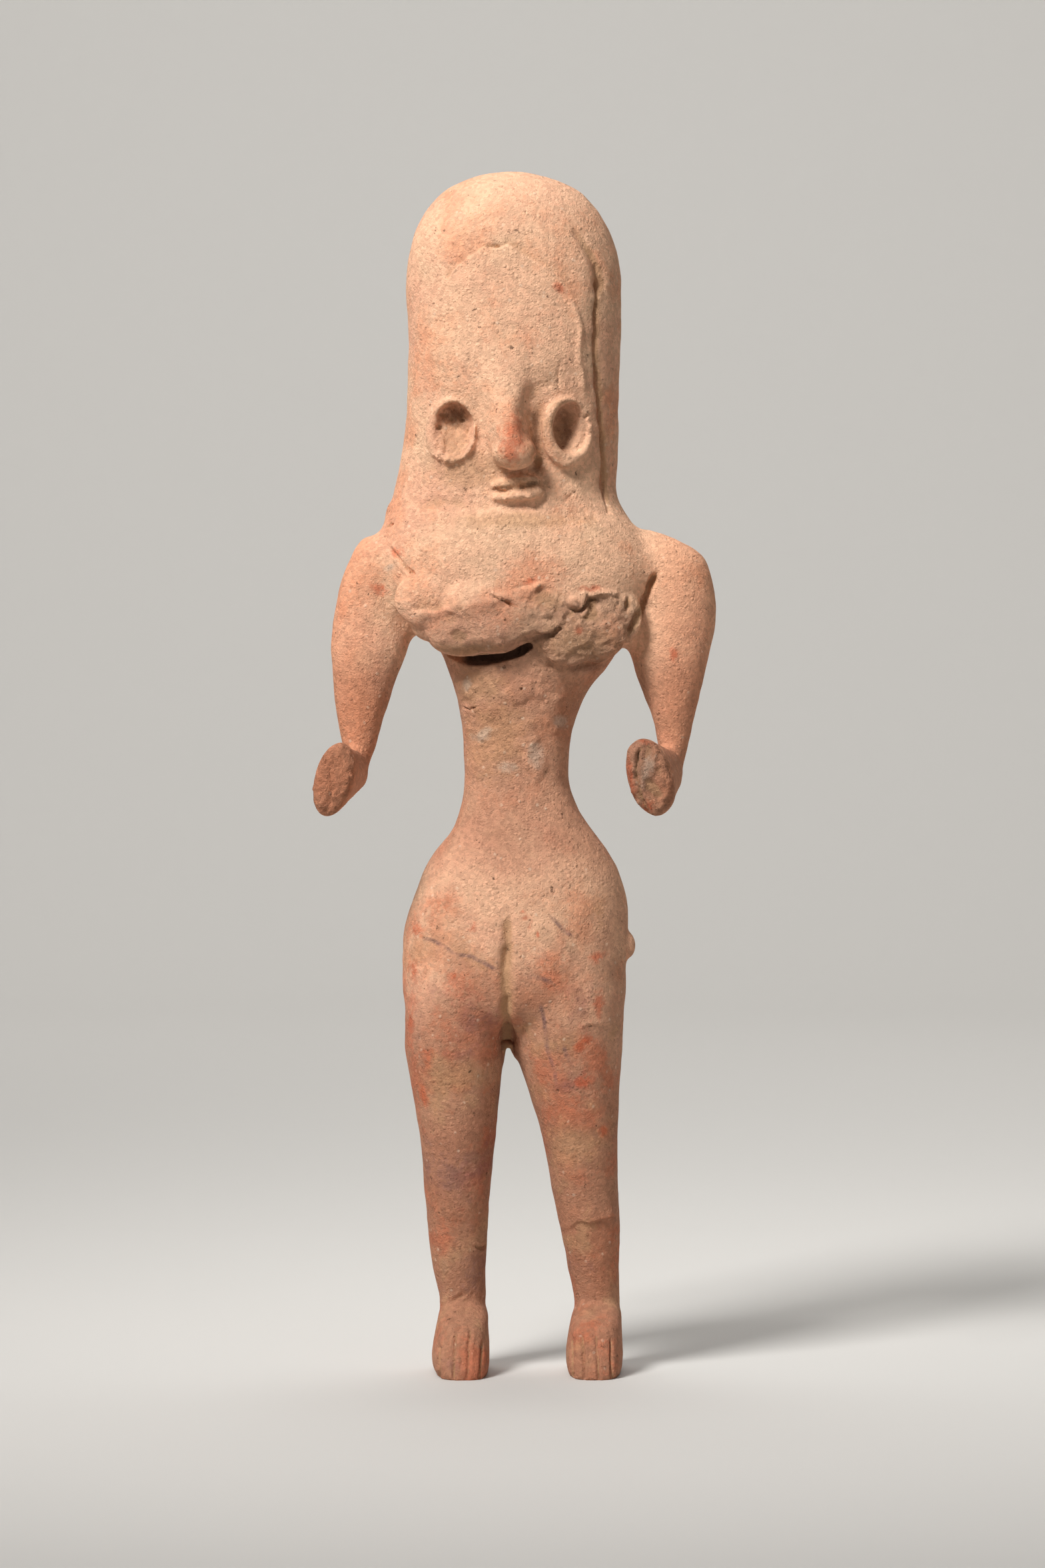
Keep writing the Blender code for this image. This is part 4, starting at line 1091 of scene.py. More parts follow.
@dataclass(frozen=True)
class Stains:
    """Where the colour changes: remains of red slip, grey patches, earth, painted shade, and the dark traces of roots.

    Attributes:
        slip: Patches of red slip: across, height, half width, half height and turn.
        grey: Pale grey patches.
        earth_and_shade: Sandy earth in hollows, and the same tone as painted shade where shadow falls: by the mouth, in
            the chin's crease, beside the nose and under the band.
        painted_shade: Painted shade, dark colour laid in the deepest places where shadow falls: the pit in the band,
            the eyes' hollows, beside the nose, the mouth's slot and under the band.
        roots: Traces left by roots.
    """

    slip: Rows = (
        (-0.0010, 0.7690, 0.0125, 0.0240, 0.0), (0.0144, 0.3755, 0.0022, 0.0050, -20.0),
        (0.0073, 0.3843, 0.0030, 0.0018, 20.0), (0.0198, 0.3657, 0.0016, 0.0036, 0.0),
        (0.0110, 0.3800, 0.0050, 0.0030, 30.0), (-0.0327, 0.3695, 0.0040, 0.0030, 0.0),
        (-0.0300, 0.3739, 0.0024, 0.0024, 0.0), (-0.0480, 0.3312, 0.0026, 0.0036, 0.0),
        (0.0702, 0.3471, 0.0090, 0.0050, 20.0), (-0.0858, 0.2902, 0.0036, 0.0200, 0.0),
        (0.0538, 0.2737, 0.0050, 0.0050, 0.0), (0.0603, 0.2792, 0.0060, 0.0040, 0.0),
        (-0.0792, 0.3679, 0.0050, 0.0070, 0.0), (0.1326, 0.5967, 0.0040, 0.0070, 0.0),
        (0.0740, 0.2026, 0.0040, 0.0050, 0.0),
        (0.0950, 0.4960, 0.0036, 0.0240, 8.0), (0.1060, 0.5250, 0.0080, 0.0040, -20.0),
        (0.1090, 0.4700, 0.0070, 0.0060, 20.0), (0.0380, 0.8950, 0.0070, 0.0050, -30.0),
        (-0.0830, 0.3350, 0.0050, 0.0120, 10.0), (-0.0700, 0.2650, 0.0060, 0.0100, 0.0),
        (-0.0740, 0.2300, 0.0040, 0.0140, 10.0), (0.0700, 0.3080, 0.0050, 0.0120, 0.0),
        (0.0560, 0.2450, 0.0080, 0.0060, 30.0), (-0.1100, 0.6500, 0.0080, 0.0070, 0.0),
        (-0.0960, 0.6800, 0.0060, 0.0050, 0.0), (0.0640, 0.6500, 0.0140, 0.0030, 0.0),
        (0.0150, 0.6560, 0.0100, 0.0030, 20.0), (0.0540, 0.6150, 0.0050, 0.0050, 0.0),
    )
    grey: Rows = (
        (0.0177, 0.5147, 0.0070, 0.0130, 0.0), (0.0386, 0.5400, 0.0070, 0.0060, 0.0),
        (-0.0384, 0.5724, 0.0050, 0.0060, 0.0), (-0.0054, 0.5037, 0.0100, 0.0050, 0.0),
        (-0.1016, 0.6686, 0.0060, 0.0030, 30.0), (0.1080, 0.5000, 0.0060, 0.0130, -10.0),
        (-0.0250, 0.5300, 0.0120, 0.0060, 20.0), (-0.0440, 0.5500, 0.0050, 0.0020, 0.0),
    )
    # Earth in hollows, and the same tone laid as painted shade where shadow falls on the face and under the band.
    earth_and_shade: Rows = (
        (-0.0479, 0.7790, 0.0150, 0.0200, 0.0), (0.0400, 0.7830, 0.0110, 0.0220, 0.0),
        (0.0200, 0.7750, 0.0080, 0.0300, 0.0), (0.0040, 0.7350, 0.0200, 0.0070, 0.0),
        (-0.0360, 0.7480, 0.0300, 0.0160, 0.0), (0.0500, 0.6050, 0.0300, 0.0140, 0.0),
        (-0.0400, 0.5990, 0.0300, 0.0060, 0.0), (0.0300, 0.6400, 0.0120, 0.0080, 0.0),
        (-0.0050, 0.3250, 0.0060, 0.0400, 0.0), (0.0040, 0.7060, 0.0500, 0.0060, 0.0),
        (-0.0150, 0.5300, 0.0260, 0.0320, 0.0), (-0.0300, 0.5700, 0.0200, 0.0160, 0.0),
        (-0.0420, 0.2500, 0.0260, 0.0120, 0.0), (0.0480, 0.1900, 0.0200, 0.0200, 0.0),
    )
    # Painted shade: dark patches laid where the deepest shadows fall.
    painted_shade: Rows = (
        (0.0640, 0.6380, 0.0060, 0.0060, -20.0), (0.0720, 0.6400, 0.0060, 0.0030, 0.0),
        (-0.0480, 0.7935, 0.0110, 0.0075, 0.0), (0.0430, 0.7830, 0.0070, 0.0170, 8.0),
        (0.0195, 0.7480, 0.0040, 0.0050, 0.0), (0.0140, 0.7358, 0.0070, 0.0022, 12.0),
        (0.0180, 0.7800, 0.0040, 0.0180, 0.0), (0.0240, 0.6100, 0.0130, 0.0030, 10.0),
        (0.0640, 0.5860, 0.0200, 0.0040, 10.0),
    )
    roots: tuple[Route, ...] = (
        ((-0.0765, 0.3619), (-0.0683, 0.3608), (-0.0551, 0.3547), (-0.0458, 0.3482), (-0.0382, 0.3487),
         (-0.0272, 0.3443), (-0.0119, 0.3356)),
        ((0.0105, 0.3319), (0.0231, 0.3298), (0.0329, 0.3254)),
        ((0.0215, 0.3098), (0.0253, 0.2955), (0.0281, 0.2698), (0.0330, 0.2566), (0.0357, 0.2353)),
        ((0.0302, 0.3822), (0.0384, 0.3724), (0.0488, 0.3631)),
        ((0.0412, 0.2747), (0.0440, 0.2650), (0.0483, 0.2572)),
    )

    def patches(self, clay: Clay, rows: Rows) -> Array:
        """The highest of the rows' cones at each point."""
        return np.max([Spot(x, z, wide, tall, 0.0, turn=turn).cone(clay) for x, z, wide, tall, turn in rows], axis=0)

    def root_lines(self, clay: Clay) -> tuple[Array, Array]:
        """Where each point lies beside the traces of roots.

        Args:
            clay: The skin.

        Returns:
            The distance from the nearest trace, with its side as the sign, and from 0 to 1 how close it is.
        """
        away = np.full(len(clay.points), 1.0)
        close = np.zeros(len(clay.points))
        for route in self.roots:
            distance, side, place = nearest_on_route(clay.across, clay.height, smooth_rows(route, 5))
            nearer = distance < np.abs(away)
            away = np.where(nearer, side * distance, away)
            ends = smoothstep(0.0, 0.08, place) * smoothstep(1.0, 0.92, place)
            close = np.where(nearer, ends * smoothstep(0.006, 0.003, distance), close)
        return away, close * clay.facing()


@dataclass
class Surface:
    """Everything worked into the lower body, and the unevenness left by the hand all over.

    Attributes:
        lines: Grooves, creases and seams.
        spots: Soft places.
        pits: Pits, and flat smears of clay.
        torn_depth: From where, and up to where, the forearms' ends are torn: both as y.
        arm_ends: Between which heights those ends lie.
    """

    lines: tuple[Line, ...] = (
        Line(((-0.0048, 0.3830), (-0.0053, 0.3561), (-0.0059, 0.3326), (-0.0053, 0.2998), (-0.0046, 0.2600)),
             0.0046, 0.0040, Profile.GROOVE, 0.0004, 0.0010),
        Line(((-0.0043, 0.3180), (-0.0050, 0.2980), (-0.0046, 0.2600)), 0.0034, 0.0040, wander=0.0012),
        Line(((-0.1459, 0.5060), (-0.1465, 0.4970), (-0.1481, 0.4856), (-0.1516, 0.4715), (-0.1543, 0.4658)),
             0.0030, 0.0012, Profile.CREASE, 0.0006, 0.0040),
        Line(((0.1043, 0.5241), (0.1005, 0.5035), (0.1060, 0.4764), (0.1114, 0.4655)), 0.0018, 0.0034,
             Profile.CREASE, 0.0008, 0.0012),
        Line(((-0.0417, 0.5537), (-0.0356, 0.5515), (-0.0290, 0.5543)), 0.0010, 0.0020, Profile.CREASE, 0.0008),
        Line(((0.0538, 0.2889), (0.0604, 0.2917), (0.0713, 0.2928), (0.0812, 0.2939)), 0.0012, 0.0012,
             Profile.RIDGE),
        Line(((0.0459, 0.1205), (0.0541, 0.1243), (0.0663, 0.1276), (0.0773, 0.1287), (0.0861, 0.1321)),
             0.0018, 0.0020, Profile.STEP, wander=0.0020),
        Line(((0.0459, 0.1215), (0.0541, 0.1258), (0.0663, 0.1290), (0.0773, 0.1300), (0.0861, 0.1336)),
             0.0012, 0.0008, Profile.RIDGE, wander=0.0016),
        Line(((-0.0597, 0.0515), (-0.0509, 0.0582), (-0.0404, 0.0659)), 0.0022, 0.0012, Profile.GROOVE, 0.0006),
        Line(((-0.0320, 0.1050), (-0.0264, 0.1028), (-0.0215, 0.1072)), 0.0014, 0.0030, Profile.CREASE, 0.0012),
    )
    spots: tuple[Spot, ...] = (
        Spot(0.0000, 0.3250, 0.0090, 0.0500, -0.0110, back=True),
        Spot(0.0000, 0.5600, 0.0120, 0.0900, -0.0040, back=True),
    )
    pits: tuple[Spot, ...] = (
        Spot(0.0067, 0.5680, 0.0012, 0.0010, -0.0040, 3.0),
        Spot(-0.0042, 0.3360, 0.0026, 0.0030, 0.0010, 3.0),
        Spot(-0.0040, 0.3020, 0.0030, 0.0040, 0.0012, 3.0),
        Spot(-0.0300, 0.5480, 0.0150, 0.0190, 0.0013, 6.0, 0.0, 0.5),
        Spot(0.0060, 0.5630, 0.0130, 0.0110, 0.0015, 6.0, 20.0, 0.6),
        Spot(0.0330, 0.5480, 0.0090, 0.0130, 0.0016, 6.0, -10.0, 0.6),
        Spot(0.0120, 0.5280, 0.0090, 0.0110, 0.0014, 6.0, 30.0, 0.6),
        Spot(0.0180, 0.5080, 0.0080, 0.0120, 0.0015, 6.0, 10.0, 0.6),
        Spot(-0.0160, 0.5060, 0.0160, 0.0130, 0.0011, 6.0, 0.0, 0.5),
        Spot(-0.0420, 0.5660, 0.0100, 0.0070, 0.0012, 6.0, 20.0, 0.6),
        Spot(0.1010, 0.4800, 0.0040, 0.0035, -0.0022, 3.0, 0.0, 0.6),
        Spot(0.1140, 0.4850, 0.0040, 0.0060, -0.0026, 3.0, 20.0, 0.8),
        Spot(0.1180, 0.5010, 0.0035, 0.0050, -0.0018, 3.0, 0.0, 0.8),
        Spot(0.1090, 0.5160, 0.0030, 0.0040, -0.0020, 3.0, 0.0, 0.8),
    )
    torn_depth: tuple[float, float] = (-0.076, -0.081)
    arm_ends: tuple[float, float] = (0.45, 0.54)

    def by_hand(self, clay: Clay) -> Array:
        """Unevenness of hand-smoothed clay: broad swells, and a fainter finer one."""
        return 0.0012 * rough_noise(clay.points, 0.060, 3, 2) + 0.00045 * rough_noise(clay.points, 0.014, 5, 2)

    def broken_ends(self, clay: Clay) -> Array:
        """From 0 to 1, the torn faces at the ends of both forearms."""
        low, high = self.arm_ends
        return smoothstep(*self.torn_depth, clay.points[:, 1]) * (clay.height < high) * (clay.height > low)


# The finished piece


@dataclass
class Figure:
    """The fired figure: fuses its parts, carves and works the clay, and marks where its finish changes.

    Attributes:
        trunk: Head and body in one column.
        head: What makes the head.
        chest: The chest and its broken band.
        limbs: Arms and legs.
        surface: What is worked into the lower body and all over.
        stains: Where the colour changes.
        rough_voxel: Fineness of the first fusing.
        voxel: Fineness of the finished skin.
        triangles: How many faces the finished skin keeps.
    """

    trunk: Trunk = field(default_factory=Trunk)
    head: Head = field(default_factory=Head)
    chest: Chest = field(default_factory=Chest)
    limbs: Limbs = field(default_factory=Limbs)
    surface: Surface = field(default_factory=Surface)
    stains: Stains = field(default_factory=Stains)
    rough_voxel: float = 0.0046
    voxel: float = 0.0015
    triangles: int = 196000

    def build(self) -> bpy.types.Object:
        """Makes the whole figure and puts it in the place of its CAD node.

        Returns:
            The finished object.
        """
        mesh = self.rough()
        self.work(mesh, self.head.spots + self.chest.spots + self.surface.spots)
        mesh = self.carved(mesh)
        self.work(mesh, self.fine_work())
        mesh = self.thinned(mesh)
        self.fit(mesh)
        obj = placed("fired_clay", mesh)
        mesh.shade_smooth()
        self.mark(mesh)
        return obj

    def rough(self) -> bpy.types.Mesh:
        """Runs the big forms together and smooths them, as a hand would.

        Returns:
            The mesh of the rough figure.
        """
        shapes = self.trunk.shapes() + self.head.shapes() + self.limbs.shapes()
        obj = joined("rough", [shape.mesh("form") for shape in shapes])
        modifier(obj, "REMESH", mode="VOXEL", voxel_size=self.rough_voxel * HEIGHT)
        modifier(obj, "SMOOTH", factor=0.5, iterations=7)
        return used_up(obj)

    def carved(self, rough: bpy.types.Mesh) -> bpy.types.Mesh:
        """Lays the smaller forms on and cuts the hollows and deep lines.

        Args:
            rough: The rough figure, which goes.

        Returns:
            The mesh of the carved figure.
        """
        shapes = self.head.additions(self.trunk) + self.trunk.laid_on(self.chest.stumps) + self.limbs.additions()
        tools = bpy.data.collections.new("tools")
        bpy.context.scene.collection.children.link(tools)
        cuts = self.head.cutters(self.trunk) + self.chest.cutters(self.trunk) + self.limbs.cutters()
        cutters = [placed("tool", cut.mesh("tool"), tools) for cut in cuts]
        obj = joined("clay", [rough] + [shape.mesh("form") for shape in shapes])
        modifier(obj, "REMESH", mode="VOXEL", voxel_size=1.25 * self.voxel * HEIGHT)
        modifier(obj, "SMOOTH", factor=0.5, iterations=6)
        modifier(obj, "BOOLEAN", operation="DIFFERENCE", solver="MANIFOLD", operand_type="COLLECTION", collection=tools)
        modifier(obj, "REMESH", mode="VOXEL", voxel_size=self.voxel * HEIGHT)
        modifier(obj, "SMOOTH", factor=0.5, iterations=1)
        mesh = used_up(obj)
        for cutter in cutters:
            bpy.data.objects.remove(cutter, do_unlink=True)
        bpy.data.collections.remove(tools)
        return mesh

    def fine_work(self) -> tuple:
        """Every fine line and pit, in the order in which they are worked."""
        return (
            self.head.lines + self.head.pits + self.chest.lines + self.chest.pits
            + self.surface.lines + self.surface.pits + self.limbs.toe_lines
        )

    def work(self, mesh: bpy.types.Mesh, marks: tuple) -> None:
        """Moves the mesh's points along their outward directions by the sum of all marks' reliefs.

        Args:
            mesh: The mesh, in metres.
            marks: Lines and spots.
        """
        clay = clay_of(mesh)
        move = sum((mark.relief(clay) for mark in marks), np.zeros(len(clay.points)))
        if any(isinstance(mark, Line) for mark in marks):
            torn = self.surface.broken_ends(clay)
            move += self.chest.roughened(clay) + self.surface.by_hand(clay) + self.head.crumbled(clay)
            move += torn * (0.0010 * rough_noise(clay.points, 0.0120, 31, 2) - 0.0004)
            move += torn * 0.0011 * rough_noise(clay.points, 0.0042, 33, 2)
        points = clay.points + clay.normals * move[:, None]
        mesh.vertices.foreach_set("co", (points * HEIGHT).astype(np.float32).ravel())
        mesh.update()

    def thinned(self, mesh: bpy.types.Mesh) -> bpy.types.Mesh:
        """Thins the faces where the skin is smooth.

        Args:
            mesh: The worked mesh, which goes.

        Returns:
            The thinned mesh.
        """
        mesh.calc_loop_triangles()
        obj = placed("thinned", mesh)
        modifier(obj, "DECIMATE", ratio=self.triangles / len(mesh.loop_triangles), use_collapse_triangulate=True)
        return used_up(obj)

    def fit(self, mesh: bpy.types.Mesh) -> None:
        """Presses the soles flat at the floor, then sets the mesh's box onto the CAD node's box.

        Args:
            mesh: The thinned mesh, in metres.
        """
        points = read(mesh, "co")
        points[:, 2] = np.maximum(points[:, 2], 0.0)
        low, high = (np.array(corner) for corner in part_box(NODE))
        own_low, own_high = points.min(axis=0), points.max(axis=0)
        scale = (high - low) / (own_high - own_low)
        moved = (low + high - own_low - own_high) * 500
        LOG.info("fit: scale %s, shift in mm %s", scale.round(4), moved.round(2))
        self.scale, self.shift = scale, low - own_low * scale
        mesh.vertices.foreach_set("co", (points * scale + self.shift).astype(np.float32).ravel())
        mesh.update()

    def mark(self, mesh: bpy.types.Mesh) -> None:
        """Writes where the finish changes as attributes of the points: hollows, torn clay, slip, roots, and painted
        shade.

        The fit is undone first, because every place is given on the figure before it.

        Args:
            mesh: The fitted mesh, in metres.
        """
        clay = clay_of(mesh)
        clay.points = (clay.points * HEIGHT - self.shift) / self.scale / HEIGHT
        relief = sum(
            (mark.relief(clay) for mark in self.fine_work() if mark.depth < 0 or isinstance(mark, Line)),
            np.zeros(len(clay.points)))
        away, close = self.stains.root_lines(clay)
        marks = {
            "hollow": np.clip(-relief / 0.003, 0.0, 1.0),
            "torn": np.clip(self.chest.ragged(clay) + self.surface.broken_ends(clay), 0.0, 1.0),
            "slip": self.stains.patches(clay, self.stains.slip),
            "grey": self.stains.patches(clay, self.stains.grey),
            # Depth of the carved hollows, which get the earth tone as earth and painted shade.
            "earth_and_shade": self.stains.patches(clay, self.stains.earth_and_shade),
            "root_away": away * HEIGHT,
            "root_close": close,
            # Painted shade in the deepest places.
            "painted_shade": self.stains.patches(clay, self.stains.painted_shade),
            # Painted shade in the gap under the band.
            "deep": self.chest.cavity(clay, self.trunk),
        }
        for name, values in marks.items():
            layer = mesh.attributes.new(name, "FLOAT", "POINT")
            layer.data.foreach_set("value", values.astype(np.float32))


def read(mesh: bpy.types.Mesh, name: str) -> Array:
    """A three-part value of every vertex of a mesh.

    Args:
        mesh: The mesh.
        name: The value's name, such as co.

    Returns:
        The values as rows of three.
    """
    values = np.empty(len(mesh.vertices) * 3, dtype=np.float32)
    mesh.vertices.foreach_get(name, values)
    return values.reshape(-1, 3).astype(float)


def clay_of(mesh: bpy.types.Mesh) -> Clay:
    """The skin of a mesh, in shares of the height."""
    return Clay(read(mesh, "co") / HEIGHT, read(mesh, "normal"))


def placed(name: str, mesh: bpy.types.Mesh, collection: bpy.types.Collection | None = None) -> bpy.types.Object:
    """A new object at the origin.

    Args:
        name: Its name.
        mesh: Its mesh.
        collection: Where it goes, or the scene's own collection.

    Returns:
        The object.
    """
    obj = bpy.data.objects.new(name, mesh)
    (collection or bpy.context.scene.collection).objects.link(obj)
    return obj


def joined(name: str, meshes: list[bpy.types.Mesh]) -> bpy.types.Object:
    """One object that holds several closed meshes.

    Args:
        name: Its name.
        meshes: The meshes, which go.

    Returns:
        The object.
    """
    whole = bmesh.new()
    for mesh in meshes:
        whole.from_mesh(mesh)
        bpy.data.meshes.remove(mesh)
    mesh = bpy.data.meshes.new(name)
    whole.to_mesh(mesh)
    whole.free()
    return placed(name, mesh)


def modifier(obj: bpy.types.Object, kind: str, **values: object) -> None:
    """Puts a modifier on an object.

    Args:
        obj: The object.
        kind: The modifier's type.
        values: Its settings.
    """
    made = obj.modifiers.new(kind.lower(), kind)
    for key, value in values.items():
        setattr(made, key, value)


def used_up(obj: bpy.types.Object) -> bpy.types.Mesh:
    """The mesh that an object's modifiers make.

    Args:
        obj: The object, which goes.

    Returns:
        The new mesh.
    """
    graph = bpy.context.evaluated_depsgraph_get()
    mesh = bpy.data.meshes.new_from_object(obj.evaluated_get(graph))
    bpy.data.objects.remove(obj, do_unlink=True)
    return mesh


# The finish


class Graph:
    """A short way to lay out a node tree."""

    def __init__(self, tree: bpy.types.NodeTree) -> None:
        """Keeps the tree."""
        self.tree = tree

    def node(self, kind: str, **values: object) -> bpy.types.Node:
        """Adds a node. Values that name an input set or feed it, and the others are its own settings.

        Args:
            kind: The node's type.
            values: Settings and inputs; an input that is an output socket is linked.

        Returns:
            The node.
        """
        made = self.tree.nodes.new(kind)
        inputs = {}
        for key, value in values.items():
            if hasattr(made, key):
                setattr(made, key, value)
            else:
                inputs[key] = value
        for key, value in inputs.items():
            name = key.replace("_", " ")
            socket = made.inputs[int(key[3:])] if key.startswith("in_") else made.inputs[name]
            if isinstance(value, bpy.types.NodeSocket):
                self.tree.links.new(value, socket)
            else:
                socket.default_value = value
        return made

    def noise(self, where: object, scale: float, detail: float = 3.0, rough: float = 0.55) -> object:
        """The value of a noise texture."""
        made = self.node("ShaderNodeTexNoise", Vector=where, Scale=scale, Detail=detail, Roughness=rough)
        return made.outputs[0]

    def ramp(self, value: object, low: float, high: float, to_low: float = 0.0, to_high: float = 1.0) -> object:
        """A value taken from one range to another by an S.

        Args:
            value: The value.
            low: Where the S begins.
            high: Where it ends; it may lie below the other.
            to_low: What it begins with.
            to_high: What it ends with.

        Returns:
            The output socket.
        """
        made = self.node("ShaderNodeMapRange", interpolation_type="SMOOTHSTEP", in_0=value)
        for number, limit in ((1, low), (2, high), (3, to_low), (4, to_high)):
            made.inputs[number].default_value = limit
        return made.outputs[0]

    def math(self, how: str, a: object, b: object = 0.5) -> object:
        """Two values combined."""
        return self.node("ShaderNodeMath", operation=how, in_0=a, in_1=b).outputs[0]

    def mix(self, amount: object, under: object, over: object) -> object:
        """Two colours mixed.

        Args:
            amount: How much of the upper colour shows.
            under: The lower colour, or a socket that gives it.
            over: The upper one.

        Returns:
            The output socket.
        """
        made = self.node("ShaderNodeMix", data_type="RGBA", in_0=amount)
        for number, value in ((6, under), (7, over)):
            if isinstance(value, bpy.types.NodeSocket):
                self.tree.links.new(value, made.inputs[number])
            else:
                made.inputs[number].default_value = value
        return made.outputs[2]

    def attribute(self, name: str) -> object:
        """A value kept on the points."""
        return self.node("ShaderNodeAttribute", attribute_name=name).outputs["Fac"]


def tone(red: float, green: float, blue: float) -> tuple[float, float, float, float]:
    """A colour as linear light.

    Args:
        red: Its red as a screen value from 0 to 255.
        green: Its green.
        blue: Its blue.

    Returns:
        Linear red, green and blue, and an alpha of 1.
    """
    screen = np.array([red, green, blue]) / 255
    linear = np.where(screen <= 0.04045, screen / 12.92, ((screen + 0.055) / 1.055) ** 2.4)
    return (*linear.tolist(), 1.0)


def new_group(name: str, inputs: dict[str, str], outputs: dict[str, str]) -> bpy.types.NodeTree:
    """An empty shader node group with named sockets.

    Args:
        name: Its name.
        inputs: Kind of socket by name.
        outputs: Kind of socket by name.

    Returns:
        The group's tree, with its input and output nodes.
    """
    tree = bpy.data.node_groups.new(name, "ShaderNodeTree")
    for in_out, sockets in (("INPUT", inputs), ("OUTPUT", outputs)):
        for label, kind in sockets.items():
            tree.interface.new_socket(label, in_out=in_out, socket_type="NodeSocket" + kind)
    tree.nodes.new("NodeGroupInput")
    tree.nodes.new("NodeGroupOutput")
    return tree


def sand_grain() -> bpy.types.NodeTree:
    """Sand in the clay: a height for bump, masks of dark pits and pale grains, and each grain's own shade.

    Every cell of a fine pattern is a grain that stands out by a drawn height, a coarser pattern adds a few larger
    grains, and noise roughens the clay between them.

    Returns:
        The group's tree.
    """
    tree = new_group(
        "Sand grain", {"Place": "Vector", "Grains per metre": "Float"},
        {"Height": "Float", "Pits": "Float", "Grains": "Float", "Shade": "Float"})
    graph = Graph(tree)
    source, result = tree.nodes["Group Input"], tree.nodes["Group Output"]
    place, scale = source.outputs[0], source.outputs[1]
    heights = []
    for share, low, high in ((1.0, 0.0, 0.55), (0.5, 0.55, 1.0)):
        cells = graph.node("ShaderNodeTexVoronoi", Vector=place, Scale=graph.math("MULTIPLY", scale, share))
        drawn = graph.node("ShaderNodeSeparateColor", in_0=cells.outputs["Color"])
        swell = graph.ramp(cells.outputs["Distance"], 0.70, 0.15)
        heights.append(graph.math("MULTIPLY", swell, graph.ramp(drawn.outputs[0], low, 1.0, 0.0, high)))
    shade = drawn.outputs[1]
    grains = graph.math("MULTIPLY", swell, graph.math("GREATER_THAN", drawn.outputs[2], 0.985))
    fine = graph.noise(place, 1500.0, 5.0, 0.8)
    pits = graph.ramp(graph.noise(place, 520.0, 4.0, 0.7), 0.35, 0.28)
    height = graph.math("ADD", fine, graph.math("ADD", heights[0], heights[1]))
    height = graph.math("SUBTRACT", height, graph.math("MULTIPLY", pits, 1.2))
    for number, value in enumerate((height, pits, grains, shade)):
        tree.links.new(value, result.inputs[number])
    return tree


